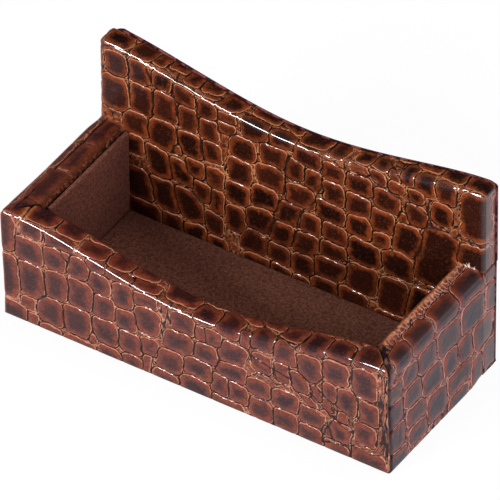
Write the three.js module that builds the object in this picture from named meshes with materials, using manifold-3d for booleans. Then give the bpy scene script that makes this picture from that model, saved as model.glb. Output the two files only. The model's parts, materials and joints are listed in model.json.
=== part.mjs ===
// A desk holder for business cards: an open tray with a tall back, built of thin boards.
// Embossed leather wraps every wall, and suede covered cards line the inside.
// Millimetres, +Z up, the front faces -Y, and the origin is under the middle of the base.
import * as THREE from "three";
import { mergeVertices } from "three/addons/utils/BufferGeometryUtils.js";
import Module from "manifold-3d";

// Outside
const width = 108;
const depth = 48;
const rimHeight = 32;
const backHeight = 55.5;
const frontDip = 8.3;
const backDip = 7.7;
// Powers of the cosine that draws each dip: 1 is a plain arch, 2 has the softest shoulders
const frontSoftness = 2;
const backSoftness = 1.55;

// Boards
const wallBoard = 5;
const backBoard = 4;
const baseBoard = 3.4;

// Leather
const leather = 0.9;
const glueLine = 0.1;
const seam = 0.3;
const turnIn = 12;
const turnUnder = 8;
const sharpEdge = 1.2;
const softEdge = 2.6;
const rollEdge = 1.8;
const sleeveDrop = 0.5;
const rearLip = 0.5;
const rearInset = 1.2;

// Lining, infill and foot
const card = 0.5;
const suede = 0.35;
const liningGap = 0.05;
const liningDrop = 1.7;
const suedeTurn = 4;
const felt = 0.8;
const feltInset = 1.6;
const feltCorner = 1.5;

// How finely curves are cut
const stations = 32;
const arcSteps = 4;
const leastRadius = 0.15;

// Levels and planes that follow from the sizes above
const skin = leather + glueLine;
const wall = wallBoard + 2 * skin;
const halfWidth = width / 2;
const halfDepth = depth / 2;
const boardFoot = felt + skin;
const floorLevel = boardFoot + baseBoard;
const backWall = backBoard + 2 * skin;
const backFace = halfDepth - backWall;
const frontBoardBack = -halfDepth + skin + wallBoard;
const sideBoardInner = halfWidth - skin - wallBoard;
const lining = card + 2 * (suede + liningGap);
const liningFront = -halfDepth + wall + liningGap;
const liningSide = halfWidth - wall - liningGap;
const wellFront = liningFront + lining;
const wellSide = liningSide - lining;
const sleeveTop = rimHeight - sleeveDrop;

const wasm = await Module();
wasm.setup();

// Height of a dipped top edge at x: level shoulders and one smooth sag between them.
function dipped(height, dip, softness) {
  return (x) => height - dip * Math.pow(Math.max(0, Math.cos((Math.PI * x) / width)), softness);
}
const frontTop = dipped(rimHeight, frontDip, frontSoftness);
const backTop = dipped(backHeight, backDip, backSoftness);
const level = (height) => () => height;

const materials = {
  leather: new THREE.MeshStandardMaterial({ color: 0x7a3c22, roughness: 0.3, metalness: 0 }),
  suede: new THREE.MeshStandardMaterial({ color: 0x54301f, roughness: 0.95, metalness: 0 }),
  board: new THREE.MeshStandardMaterial({ color: 0xb08a5c, roughness: 0.85, metalness: 0 }),
  card: new THREE.MeshStandardMaterial({ color: 0x8f8b82, roughness: 0.9, metalness: 0 }),
  felt: new THREE.MeshStandardMaterial({ color: 0x2b1d17, roughness: 1, metalness: 0 }),
};

const holder = new THREE.Group();

function addPiece(name, geometry, material) {
  const mesh = new THREE.Mesh(geometry, material);
  mesh.name = name;
  holder.add(mesh);
  return mesh;
}

// Joining and cutting

function toSolid(geometry) {
  const bare = new THREE.BufferGeometry();
  const source = geometry.index ? geometry.toNonIndexed() : geometry;
  bare.setAttribute("position", source.getAttribute("position"));
  const merged = mergeVertices(bare, 1e-4);
  return new wasm.Manifold(
    new wasm.Mesh({
      numProp: 3,
      vertProperties: new Float32Array(merged.attributes.position.array),
      triVerts: new Uint32Array(merged.index.array),
    }),
  );
}

function toGeometry(solid) {
  const mesh = solid.getMesh();
  const geometry = new THREE.BufferGeometry();
  geometry.setAttribute("position", new THREE.BufferAttribute(mesh.vertProperties, 3));
  geometry.setIndex(new THREE.BufferAttribute(mesh.triVerts, 1));
  return geometry;
}

// A box from its lowest to its highest corner.
function block(low, high) {
  const size = high.map((value, i) => value - low[i]);
  const middle = high.map((value, i) => (value + low[i]) / 2);
  return new THREE.BoxGeometry(...size).translate(...middle);
}

// Profiles are [depth in from the outer face, height] points

// Points of a quarter round about a centre, from one angle to the other, in degrees.
function quarter(centre, radius, from, to) {
  const points = [];
  for (let i = 0; i <= arcSteps; i++) {
    const angle = THREE.MathUtils.degToRad(from + ((to - from) * i) / arcSteps);
    points.push([centre[0] + radius * Math.cos(angle), centre[1] + radius * Math.sin(angle)]);
  }
  return points;
}

const innerRadius = (radius) => Math.max(radius - leather, leastRadius);

// The foot of a wrap: under the board, round the lower edge and onto the outer face.
function wrapFoot() {
  const inner = innerRadius(sharpEdge);
  const low = felt + leather;
  return {
    outer: [[turnUnder, felt], ...quarter([sharpEdge, felt + sharpEdge], sharpEdge, 270, 180)],
    inner: [...quarter([leather + inner, low + inner], inner, 180, 270), [turnUnder, low]],
  };
}

// The head of a wrap: over the top edge and down the inside. Heights are measured from the top.
function wrapHead(edge, roll) {
  const outer = innerRadius(edge);
  const inner = innerRadius(roll);
  const back = wall - leather;
  return {
    outer: [
      ...quarter([edge, -edge], edge, 180, 90),
      ...quarter([wall - roll, -roll], roll, 90, 0),
      [wall, -turnIn],
    ],
    inner: [
      [back, -turnIn],
      ...quarter([back - inner, -leather - inner], inner, 0, 90),
      ...quarter([leather + outer, -leather - outer], outer, 90, 180),
    ],
  };
}

// A closed profile whose points each say whether their height counts from the top edge.
function marked(points, fromTop) {
  return points.map(([d, z]) => ({ d, z, fromTop }));
}

function wrapProfile(edge, roll) {
  const foot = wrapFoot();
  const head = wrapHead(edge, roll);
  return [
    ...marked(foot.outer, false),
    ...marked(head.outer, true),
    ...marked(head.inner, true),
    ...marked(foot.inner, false),
  ];
}

// Sweeps a profile. `ends` gives the start and the end of the sweep at a depth, `top` the height of
// the top edge, and `place` turns [sweep, depth, height] into a point. Faces come out whichever
// way `place` turns, because the winding is chosen from the volume.
function sweep(profile, ends, top, place, steps) {
  const points = [];
  for (let i = 0; i <= steps; i++) {
    for (const { d, z, fromTop } of profile) {
      const [start, end] = ends(d);
      const s = start + ((end - start) * i) / steps;
      points.push(place(s, d, fromTop ? top(s) + z : z));
    }
  }
  const flat = profile.map(({ d, z, fromTop }) => new THREE.Vector2(d, fromTop ? top(ends(d)[0]) + z : z));
  const cap = THREE.ShapeUtils.triangulateShape(flat, []);
  const turn = Math.sign(THREE.ShapeUtils.area(flat));
  const count = profile.length;
  const faces = [];
  for (let i = 0; i < steps; i++) {
    for (let j = 0; j < count; j++) {
      const a = i * count + j;
      const b = i * count + ((j + 1) % count);
      faces.push([a, b, b + count], [a, b + count, a + count]);
    }
  }
  for (const [a, b, c] of cap) {
    const last = steps * count;
    faces.push(turn > 0 ? [a, c, b] : [a, b, c]);
    faces.push(turn > 0 ? [last + a, last + b, last + c] : [last + a, last + c, last + b]);
  }
  // triangulateShape always winds the way the outline turns, so the sides follow that turn too.
  const corners = faces.map((face) => face.map((k) => new THREE.Vector3(...points[k])));
  const volume = corners.reduce((sum, [a, b, c]) => sum + a.dot(b.clone().cross(c)), 0);
  const outward = volume > 0 ? faces : faces.map(([a, b, c]) => [a, c, b]);
  const geometry = new THREE.BufferGeometry();
  geometry.setAttribute("position", new THREE.Float32BufferAttribute(points.flat(), 3));
  geometry.setIndex(outward.flat());
  return geometry;
}

// Extrudes an outline drawn in x and z along y, from `near` to `far`.
function plate(outline, near, far) {
  const shape = new THREE.Shape(outline.map(([x, z]) => new THREE.Vector2(x, z)));
  const geometry = new THREE.ExtrudeGeometry(shape, { depth: far - near, bevelEnabled: false });
  return geometry.rotateX(Math.PI / 2).translate(0, far, 0);
}

// An outline between two x planes, from a foot up to a top edge. The stations crowd towards the
// ends, where the corners may be round.
function underCurve(half, foot, top) {
  const outline = [[-half, foot], [half, foot]];
  for (let i = 0; i <= stations; i++) {
    const x = half * Math.cos((Math.PI * i) / stations);
    outline.push([x, top(x)]);
  }
  return outline;
}

// Boards

const boardHalf = halfWidth - skin;
const boardRound = Math.max(softEdge - skin, leastRadius);

// The front board's top corners are rounded to follow the side walls' rounded outer edges.
function frontBoardTop(x) {
  const past = Math.max(0, Math.abs(x) - (boardHalf - boardRound));
  return frontTop(x) - skin - (boardRound - Math.sqrt(Math.max(0, boardRound ** 2 - past ** 2)));
}
addPiece(
  "front_board",
  plate(underCurve(boardHalf, boardFoot, frontBoardTop), -halfDepth + skin, frontBoardBack),
  materials.board,
);
addPiece(
  "back_board",
  plate(underCurve(boardHalf, boardFoot, (x) => backTop(x) - skin), backFace + skin, halfDepth - skin),
  materials.board,
);

// The side boards stand between the front board and the wrapped back, with rounded top edges.
for (const [name, side] of [["left_board", -1], ["right_board", 1]]) {
  const top = rimHeight - skin;
  const rollRound = Math.max(rollEdge - skin, leastRadius);
  const outline = [
    [sideBoardInner, boardFoot],
    [boardHalf, boardFoot],
    ...quarter([boardHalf - boardRound, top - boardRound], boardRound, 0, 90),
    ...quarter([sideBoardInner + rollRound, top - rollRound], rollRound, 90, 180),
  ];
  const placed = outline.map(([x, z]) => [side * x, z]);
  addPiece(name, plate(placed, frontBoardBack, backFace - glueLine), materials.board);
}

addPiece(
  "base_board",
  block([-sideBoardInner, frontBoardBack, boardFoot], [sideBoardInner, backFace - glueLine, floorLevel]),
  materials.board,
);

// Leather on the walls

// The front wrap runs along x and meets the side wraps in mitres at both ends.
const mitre = (d) => halfWidth - d - seam / 2;
addPiece(
  "front_leather",
  sweep(
    wrapProfile(sharpEdge, sharpEdge),
    (d) => [-mitre(d), mitre(d)],
    frontTop,
    (s, d, z) => [s, d - halfDepth, z],
    stations,
  ),
  materials.leather,
);

// A side wrap runs along y. Behind the rim it narrows to a sleeve over the end of the back board.
const backPocket = block(
  [-halfWidth + leather, backFace - glueLine, boardFoot - glueLine / 2],
  [halfWidth - leather, depth, 2 * backHeight],
);
const aboveSleeve = block([-width, backFace - glueLine, sleeveTop], [width, depth, 2 * backHeight]);
for (const [name, side] of [["left_leather", -1], ["right_leather", 1]]) {
  const wrap = sweep(
    wrapProfile(softEdge, rollEdge),
    (d) => [-halfDepth + d + seam / 2, halfDepth - Math.max(d, skin) - seam / 2],
    level(rimHeight),
    (s, d, z) => [side * (halfWidth - d), s, z],
    1,
  );
  const cut = toSolid(wrap).subtract(toSolid(backPocket)).subtract(toSolid(aboveSleeve));
  addPiece(name, toGeometry(cut), materials.leather);
}

// The back wrap covers the face of the back board and its top edge. Above the rim it also folds
// round both ends, with a slit at the top where the end fold meets the top fold.
function backSheet() {
  const inner = innerRadius(sharpEdge);
  const reach = backWall - skin;
  const profile = [
    ...marked([[0, boardFoot]], false),
    ...marked(quarter([sharpEdge, -sharpEdge], sharpEdge, 180, 90), true),
    ...marked([[reach, 0], [reach, -leather]], true),
    ...marked(quarter([leather + inner, -leather - inner], inner, 90, 180), true),
    ...marked([[leather, boardFoot]], false),
  ];
  const ends = () => [-halfWidth, halfWidth];
  return toSolid(sweep(profile, ends, backTop, (s, d, z) => [s, backFace + d, z], stations));
}
let backWrap = backSheet();
for (const side of [-1, 1]) {
  const outer = side * halfWidth;
  const foldInner = side * (halfWidth - leather);
  const slitInner = side * (halfWidth - leather - seam);
  const besideSleeve = side * (halfWidth - skin);
  const span = (a, b) => [Math.min(a, b), Math.max(a, b)];
  const [foldLow, foldHigh] = span(outer, foldInner);
  const [slitLow, slitHigh] = span(foldInner, slitInner);
  const [cutLow, cutHigh] = span(side * width, besideSleeve);
  const foldTop = backTop(halfWidth) - sharpEdge / 2;
  const fold = block(
    [foldLow, backFace + leather / 2, sleeveTop],
    [foldHigh, halfDepth - skin, foldTop],
  );
  const slit = block([slitLow, backFace + sharpEdge, foldTop - leather], [slitHigh, depth, 2 * backHeight]);
  const belowRim = block([cutLow, -depth, -depth], [cutHigh, depth, sleeveTop + seam]);
  backWrap = backWrap.add(toSolid(fold)).subtract(toSolid(slit)).subtract(toSolid(belowRim));
}
addPiece("back_leather", toGeometry(backWrap), materials.leather);

// The rear sheet is laid last. It stands a little above the top edge and turns under the base.
function rearSheet() {
  const foot = wrapFoot();
  const profile = [
    ...marked(foot.outer, false),
    ...marked([[0, rearLip], [leather, rearLip]], true),
    ...marked(foot.inner, false),
  ];
  const end = (d) => halfWidth - Math.max(d, rearInset) - seam / 2;
  return sweep(profile, (d) => [-end(d), end(d)], backTop, (s, d, z) => [s, halfDepth - d, z], stations);
}
addPiece("rear_leather", rearSheet(), materials.leather);

// Foot: a card fills the space between the turned edges, and felt covers it all

addPiece(
  "infill_card",
  block(
    [-halfWidth + turnUnder + seam, -halfDepth + turnUnder + seam, felt],
    [halfWidth - turnUnder - seam, halfDepth - turnUnder - seam, felt + leather],
  ),
  materials.card,
);

function feltOutline() {
  const x = halfWidth - feltInset;
  const y = halfDepth - feltInset;
  const shape = new THREE.Shape();
  shape.absarc(x - feltCorner, y - feltCorner, feltCorner, 0, Math.PI / 2);
  shape.absarc(-x + feltCorner, y - feltCorner, feltCorner, Math.PI / 2, Math.PI);
  shape.absarc(-x + feltCorner, -y + feltCorner, feltCorner, Math.PI, 1.5 * Math.PI);
  shape.absarc(x - feltCorner, -y + feltCorner, feltCorner, 1.5 * Math.PI, 2 * Math.PI);
  return shape;
}
addPiece(
  "base_felt",
  new THREE.ExtrudeGeometry(feltOutline(), { depth: felt, bevelEnabled: false, curveSegments: arcSteps }),
  materials.felt,
);

// Lining: each wall has a card whose suede folds over the top and a little way down behind

const cardNear = suede + liningGap;
const liningFoot = floorLevel + liningGap;

// Suede as [depth behind the visible face, height] points.
const suedeProfile = [
  ...marked([[0, liningFoot]], false),
  ...marked([[0, 0], [lining, 0], [lining, -suedeTurn], [lining - suede, -suedeTurn]], true),
  ...marked([[lining - suede, -suede], [suede, -suede]], true),
  ...marked([[suede, liningFoot]], false),
];
const cardProfile = [
  ...marked([[cardNear, liningFoot]], false),
  ...marked([[cardNear, -cardNear], [cardNear + card, -cardNear]], true),
  ...marked([[cardNear + card, liningFoot]], false),
];
const liningParts = [["card", cardProfile, materials.card], ["suede", suedeProfile, materials.suede]];

for (const [part, profile, material] of liningParts) {
  const frontEnds = () => [-liningSide, liningSide];
  const frontLining = (x) => frontTop(x) - liningDrop;
  addPiece(
    `front_lining_${part}`,
    sweep(profile, frontEnds, frontLining, (s, d, z) => [s, wellFront - d, z], stations),
    material,
  );
  for (const [name, side] of [["left", -1], ["right", 1]]) {
    const sideEnds = () => [wellFront + liningGap, backFace - liningGap];
    const place = (s, d, z) => [side * (wellSide + d), s, z];
    addPiece(
      `${name}_lining_${part}`,
      sweep(profile, sideEnds, level(rimHeight - liningDrop), place, 1),
      material,
    );
  }
}

// The floor card is dropped in last, with suede over its face and its four edges.
const padSide = wellSide - liningGap;
const padFront = wellFront + liningGap;
const padBack = backFace - liningGap;
const padTop = liningFoot + card + cardNear;
const padCard = [
  [-padSide + cardNear, padFront + cardNear, liningFoot],
  [padSide - cardNear, padBack - cardNear, liningFoot + card],
];
addPiece("floor_card", block(...padCard), materials.card);
const padOuter = toSolid(block([-padSide, padFront, liningFoot], [padSide, padBack, padTop]));
const padHollow = toSolid(
  block(
    [-padSide + suede, padFront + suede, liningFoot - suede],
    [padSide - suede, padBack - suede, padTop - suede],
  ),
);
addPiece("floor_suede", toGeometry(padOuter.subtract(padHollow)), materials.suede);

export default holder;
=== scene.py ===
# %% [markdown]
# # A leather business card holder
# The holder is made of thin boards. Each wall is wrapped in leather that was embossed flat with the
# scales of crocodile skin and then folded round the board. Suede lines the inside. This lesson keeps
# that order: the relief is worked out on the flat sheet, and the sheet is then folded round its wall.

import json
import math

import bpy
import numpy as np
from mathutils import Matrix, Vector


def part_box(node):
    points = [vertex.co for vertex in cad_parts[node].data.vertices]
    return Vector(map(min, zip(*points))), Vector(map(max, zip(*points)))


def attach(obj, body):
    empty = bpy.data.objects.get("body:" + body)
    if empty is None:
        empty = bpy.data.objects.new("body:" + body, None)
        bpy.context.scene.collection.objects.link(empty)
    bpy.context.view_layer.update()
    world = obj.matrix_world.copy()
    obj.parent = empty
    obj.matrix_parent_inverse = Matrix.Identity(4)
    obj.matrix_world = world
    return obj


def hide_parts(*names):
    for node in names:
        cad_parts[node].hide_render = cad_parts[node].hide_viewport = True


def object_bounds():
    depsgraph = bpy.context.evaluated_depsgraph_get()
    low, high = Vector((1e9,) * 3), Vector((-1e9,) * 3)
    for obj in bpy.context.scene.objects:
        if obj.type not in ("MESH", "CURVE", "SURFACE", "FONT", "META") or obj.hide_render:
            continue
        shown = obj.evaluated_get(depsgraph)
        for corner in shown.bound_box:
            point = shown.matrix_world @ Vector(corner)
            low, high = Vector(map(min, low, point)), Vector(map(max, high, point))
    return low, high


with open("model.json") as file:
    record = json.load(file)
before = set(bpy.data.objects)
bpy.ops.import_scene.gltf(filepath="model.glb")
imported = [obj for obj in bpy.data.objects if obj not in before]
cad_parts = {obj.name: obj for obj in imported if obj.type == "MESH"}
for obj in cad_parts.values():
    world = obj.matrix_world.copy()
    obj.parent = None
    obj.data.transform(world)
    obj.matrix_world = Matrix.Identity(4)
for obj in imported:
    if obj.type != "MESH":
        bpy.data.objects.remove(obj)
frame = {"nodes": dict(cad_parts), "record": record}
cad_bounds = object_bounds()

# %% [markdown]
# ## Sizes
# The main sizes are read from the solids, so that each dressed piece lies where its solid does. The
# frame is in metres. The lesson works in millimetres, which suit leather, and turns them into metres
# when a mesh is written.

# %% Read the sizes from the solids
METRE = 0.001
GLUE_LINE = 0.1


def corners(node):
    """The lowest and highest corner of a solid, in millimetres."""
    low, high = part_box(node)
    return np.array(low) / METRE, np.array(high) / METRE


def top_at_middle(node):
    """The height of a solid's top edge halfway along it, in millimetres."""
    points = np.array([v.co[:] for v in frame["nodes"][node].data.vertices]) / METRE
    return points[np.abs(points[:, 0]) < 0.5][:, 2].max()


half_width = corners("back_leather")[1][0]
half_depth = corners("rear_leather")[1][1]
rim_height = corners("right_leather")[1][2]
back_height = corners("back_leather")[1][2]
foot_height = corners("front_leather")[0][2]
back_face = corners("back_leather")[0][1]
lining_front = corners("front_lining_suede")[0][1]
well_front = corners("front_lining_suede")[1][1]
(lining_side, _, lining_foot), (lining_outer, _, lining_top) = corners("right_lining_suede")
floor_top = corners("floor_suede")[1][2]
wall = half_depth + lining_front
# The rear sheet lies on the back's leather with a line of glue between.
leather = half_depth - corners("back_leather")[1][1] - GLUE_LINE
front_dip = rim_height - top_at_middle("front_leather")
back_dip = back_height - top_at_middle("back_leather")
rear_lip = top_at_middle("rear_leather") - top_at_middle("back_leather")
print("half width", round(half_width, 2), "wall", round(wall, 2), "leather", round(leather, 2))
print("dips", round(front_dip, 2), round(back_dip, 2), "lip", round(rear_lip, 2))

# %% [markdown]
# Both long walls dip in the middle. A power of a cosine draws such a dip: 1 is a plain arch, and 2 has
# the softest shoulders.

# %% Top edges
FRONT_SOFTNESS = 2.0
BACK_SOFTNESS = 1.55


def front_top(x):
    """The height of the front wall's top edge."""
    return rim_height - front_dip * np.cos(np.pi * x / (2 * half_width)) ** FRONT_SOFTNESS


def back_top(x):
    """The height of the back's top edge."""
    inside = np.clip(x, -half_width, half_width)
    return back_height - back_dip * np.cos(np.pi * inside / (2 * half_width)) ** BACK_SOFTNESS


def rim(_):
    """The side walls' top edge is level."""
    return rim_height


# %% [markdown]
# ## Noise
# Natural surfaces need smooth randomness. Value noise puts a random number on each point of a square
# lattice and blends between them. Cells do the same with points that are pushed about, and give the
# distance to the border between the two nearest, which draws nets of wrinkles. A noise texture could
# do this at render time, but here the mesh needs it, and a seed makes it the same on every run.

# %% Value noise and cells
LATTICE = 64


def noise(s, t, cell, seed):
    """Smooth noise from -1 to 1 over the plane, with features about as large as the cell."""
    table = np.random.default_rng(seed).uniform(-1, 1, (LATTICE, LATTICE))
    a, b = s / cell, t / cell
    i, j = np.floor(a).astype(int), np.floor(b).astype(int)
    u, v = a - i, b - j
    u, v = u * u * (3 - 2 * u), v * v * (3 - 2 * v)
    at = lambda p, q: table[p % LATTICE, q % LATTICE]
    low = at(i, j) * (1 - u) + at(i + 1, j) * u
    high = at(i, j + 1) * (1 - u) + at(i + 1, j + 1) * u
    return low * (1 - v) + high * v


def waver(along, cell, seed):
    """The same noise along a line."""
    return noise(along, along * 0, cell, seed)


def cells(along, across, seed):
    """How far a point is from the border between the two nearest of a jittered lattice of points."""
    jitter = np.random.default_rng(seed).uniform(0.05, 0.95, (2, LATTICE, LATTICE))
    i, j = np.floor(along).astype(int), np.floor(across).astype(int)
    nearest = np.full(along.shape, 9.0)
    second = nearest.copy()
    for di in (-1, 0, 1):
        for dj in (-1, 0, 1):
            p, q = (i + di) % LATTICE, (j + dj) % LATTICE
            away = np.hypot(i + di + jitter[0, p, q] - along, j + dj + jitter[1, p, q] - across)
            second = np.minimum(second, np.maximum(nearest, away))
            nearest = np.minimum(nearest, away)
    return (second - nearest) / 2


def smooth_step(value, low, high):
    """0 below low, 1 above high, and a smooth climb between them."""
    x = np.clip((value - low) / (high - low), 0, 1)
    return x * x * (3 - 2 * x)


def bell(distance, width):
    """1 where the distance is 0, and hardly anything beyond two widths on either side."""
    return np.exp(-((distance / width) ** 2))


# %% [markdown]
# ## The embossing plate
# Crocodile belly has rounded scales in rows, and crumpled skin where the animal's hide flexed. Rows like
# these are no random pattern, so the scales that can be seen on the real holder are listed one by one,
# as left, right, lower and upper edge in millimetres on the flat sheet. A fifth number leans a scale.
# Some places have no scale but a patch of crumpled skin. A patch is listed by its four edges, the
# length and width of its wrinkles, and the way that they run, in degrees. Long creases that cross
# several scales are listed as bent lines, point by point.

# %% Lists for the front
FRONT_SCALES = """
-57 -50.5 20 31; -57 -50 6 18.5; -55 -47.5 -3 4.3; -49 -45.5 4.3 7.5; -57 -49.2 32 38
-49.3 -42.8 8.5 18 -.1; -50 -42.8 18.7 25.5; -48.5 -43.2 27 30.9; -48.2 -41.2 31.9 40; -46.8 -44.6 -2 3
-44.3 -37.3 2.2 10; -44 -37.5 -5 1.5; -42.2 -36.2 10.8 18.6; -42.2 -36.5 19.5 26 -.12
-41.8 -34.5 26.8 30.5; -40.4 -34 31.5 39; -36.8 -29.4 2.2 10.4; -36.8 -28 -5 1.2; -35.3 -29 11 19.3
-35.5 -30 20.2 26; -37.6 -35.2 24 26.4; -33 -26.5 28.3 33.7; -30 -27.8 2.4 4.6; -28.6 -21.8 3.4 10.2 -.1
-27.3 -20.8 -4 2.4; -28.2 -22.8 11 17.8; -29.4 -24 18.4 24; -30 -25.4 24.8 28; -21.3 -15 4 9.8
-20.5 -14.6 -4 3; -22.2 -16.4 10.4 16.2; -22.9 -17.2 17 24; -24.8 -17.6 24.6 27.2; -25.6 -19.8 28 34
-19.2 -13.5 28.6 34; -15 -10.5 5.6 10.6; -14.3 -12.6 -3 5; -16.4 -10 12.3 19.6; -16.9 -10.8 20.2 24
-18.2 -11.6 24.5 27.6; -10.2 -1.6 25.4 31.5 -.2; -6.2 0 17 22.4; -8.2 -.8 10.3 16.1 .12
-10.7 -3.6 2.9 9.3 .1; -11.6 -4.7 -4 2.2; -.8 5.2 22.2 28.1; .8 2.8 17 20.5; 3 7.8 16.8 21.2
-.2 6.5 10.7 15.8; -2.7 4.4 4.9 10.2; -4 4.4 -4 4; -.6 5.4 28.8 33; 5.9 12.2 21.3 29.5
7.4 14.2 13.8 19.8 .2; 6.4 14.2 8.4 13.2; 4.8 9.2 2.6 8.2; 9.6 14.7 2.2 7.6; 5 13.6 -4 1.8
13 15.5 20.8 25; 8.5 15.2 28.5 33 -.8; 15.8 21.8 21.8 28.8; 14.8 21.3 7.2 11.6; 15.3 21.6 0 5.8
14 21 -5 -.6; 15.5 22.5 29.6 34; 22.6 28.4 20.8 27.2; 22 28.7 6.2 11.4; 22.2 28.6 0 5.4; 21.5 28 -5 -.6
22.8 29 28 34; 29.2 35.2 18.4 25.8; 29.8 36 26.6 35; 29.5 36.2 4.8 10; 29.2 35.6 -1 4; 36.4 43 21 27.2
36.8 43.2 28.2 35; 36.3 39.6 15 20.3; 40.2 45 12.8 19.8; 37.8 43.4 3.8 9.2; 36.2 38.4 3.6 6
36.4 43 -4 2.6; 44.2 50.6 20.2 28.4; 44.4 51 29.4 37; 46 51 12.6 18.8; 45 50 6 11.6; 44.2 52.5 -3 3.9
52 57 30 38; 16.4 21.3 15 19.8; 22.6 26.3 14.6 19.8; 27.2 31.6 13.8 19.3 -.15; 33.3 36 13.6 17
36.2 38.4 11.9 15.2 -.2; 40.4 42.8 9.9 12.6; 30 33.6 11 13 -.8
"""
FRONT_CRUMPLES = """
-10.4 -6.8 12.5 24.6 9 1.6 84; 14.6 44 9 21.6 5 2.2 -40; 50 52.4 5 30 9 1.6 84; -14.8 -12 -4 5.4 9 1.6 84
14 44 20.8 22.6 4.2 1.8 -48; 51.2 57 -3 30 8.5 0.9 86
"""
FRONT_CREASES = """
16 30.4 18.1 29 22.1 27.9 24.2 27.9 27.8 26.9 29.9 26.2 34.6 26.5 37.4 27.6 42.1 27.9
16 21.1 18.1 21.3 21.4 20.4 24.9 20.4 29.9 19.4 31.7 18.3 33.1 15.4 32.8 14 32.1 12.6
22.3 27.2 22.1 22.9 21.9 19.7 22.6 16.1 23.3 12.6; 36 28.3 36.2 24.7 35.6 21.1 34.2 17.6
33.9 17.2 36.4 16.1 38.1 14.4 38.9 11.9; 18.1 14.4 22.1 14.4 27.4 13.6 30.3 11.9 32.8 10.4 36 9
33.1 14.7 36 11.9 39.2 10.1 43.9 7.6; 39.2 14.4 42.4 12.6 45.6 12 50.3 12; 39.2 9.4 37.4 6.5 35.6 1.1
43.5 32.9 43.7 28.3 44.2 24 44.6 20.4 45.6 17.6 46.4 14.7 45.6 12.4
51 25.8 52.1 22.2 52.4 19 51.4 13.3 50.3 6.9; 36 1.1 38.1 2.2 41 2.6 43.9 3.3 46.4 4 51 4
42.8 11.9 44.2 7.6 43.9 3.3 43.3 .1; 26.2 19.9 27 17.5 27.1 15.4; 15.8 19 18.8 18 21.6 17.2
22.6 17.2 26.4 16.6
"""

# %% Lists for the back
BACK_SCALES = """
-52.6 -46.4 55.4 59.4; -45 -39.5 54.4 59.4; -35.9 -30.6 55.3 58.8; -30.6 -26.8 52.8 56.8
-26.4 -21.6 52.3 56.3; -20.6 -15 49.2 54.5 .3; -39.2 -36.3 54.5 58.5 .3; -24.4 -20.4 50.6 52.2
-52 -46.4 46.5 53; -45.2 -40 46.6 53.2; -38.6 -33.8 47.3 52.6; -32.8 -27.3 45.6 50.6
-25.9 -20.7 44.6 49.8; -20 -15.7 45.8 48.4; -20 -16 42 45; -52.9 -46.2 35.8 45.5; -44.9 -39 37.5 45.8
-38.3 -32.1 38.3 46.5; -31.4 -26.3 38.2 45.1; -25.6 -20.4 38.2 43.9; -47.2 -40.4 29.9 37
-39.7 -32.3 29.5 37.7; -31.6 -25.1 30.6 37.4 -.1; -24.6 -19.6 31.7 37.3 -.1; -33.5 -31.1 29.8 32.2
-47 -41.8 24.4 29.6; -40.2 -34 20.5 28.6 -.25; -34 -28.1 20.8 27.8 -.2; -29.8 -24.4 24.8 29.6
-23.6 -19.2 24 29.4; -47 -39.6 11.2 19.6 -.2; -38.8 -32 11 19.7 -.3; -32.2 -24.6 10.8 19 -.25
-27.5 -22.7 17.8 23.6 -.1; -22.4 -19.2 16.4 23.2; -24.4 -19.4 9.5 15.4; -46 -37 3 10; -36.2 -30.6 3 10.2
-30 -24 3 9.6; -23.6 -18 3 8.7; -12.3 -5.7 51.1 54.4; -4.6 1 50.6 54.4; 2 8.9 48.9 54.2 .3
10.2 14.4 48.6 54; -13.8 -6.5 43.8 50.1; -5.7 .9 45 50; 1 8.3 42.3 47.6; 9 15 41.1 45.8
-8.2 -1.3 38.2 44.2; -17 -9.9 36 42.8; -1.2 3.4 36.8 42.7; 4.2 8.9 35.8 41.5; 9.3 15 34 40.1
-17.5 -11.3 28.7 35.5; -9.6 -1.9 31 37.3; -1.1 6.6 29 35; 7.4 15 28 33.8; -18 -11.6 21.6 28
-11 -3.7 23.8 30.1; -3.7 3.1 22 28.8 .15; 2.7 8.3 22 27.6 .1; 9.1 15.7 22.3 27.7; -18.2 -13 13.2 20.3
-12.4 -5.1 16.3 22.9 .1; -5.2 .4 15 21.4 .1; .7 7.5 15 21.1 .15; 8.3 15.6 16.5 21.4; -14 -6.6 8.8 15.2 .15
-6.4 -.4 8.6 14.1; .2 6.2 8.2 14 .1; 6.8 14.8 10.4 16 .3; -13 -6 3 8; -6 0 3 7.8; .4 5 3 7.4; 5.6 13 4 9.5
13.6 21.4 3 9.6; 17.4 21.6 50 54.6; 22 27.2 50.4 54.8; 31 34.8 49.5 56.3; 35.1 40.1 48.4 55
40.9 46 48.6 54.8; 47.9 57 40.9 54.4; 40.5 47 55.9 60; 47.8 57 55.9 60; 33 39.8 56.2 60; 16 22.6 40.6 46
23.5 30.5 38.6 44.7 -.1; 32.6 37.8 38.1 43.9; 39.8 44.8 41.4 47.6 .1; 33.4 37 45 48.8; 28 31.4 45.7 48.5
16 22.3 33.8 39.8; 22.8 28.8 31.5 38; 30.4 32.8 37.4 39.9; 29.1 36.4 27.7 36.8 .15; 35.6 46 21.6 39.2 .2
47 57 31 38.3; 16 22.6 27.2 33.1; 23.1 27.6 26.8 30.8; 16.3 24.9 19.5 26.3; 26 34.3 19.8 27
16 24.2 10 18.1 .1; 25 32.3 8 18.1 .1; 33.2 39 8 18.4 .2; 24 32 1 7.4; 33 40 1 7.6; 40.5 49 12 20.6
40 49 3 11.4; 46 56 21.6 30; 50 57 3 20; 22.8 26.8 46.2 50 -.2; 17.4 21.8 47.4 49.6; 27.6 30.2 49 52.4 -.2
"""
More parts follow.
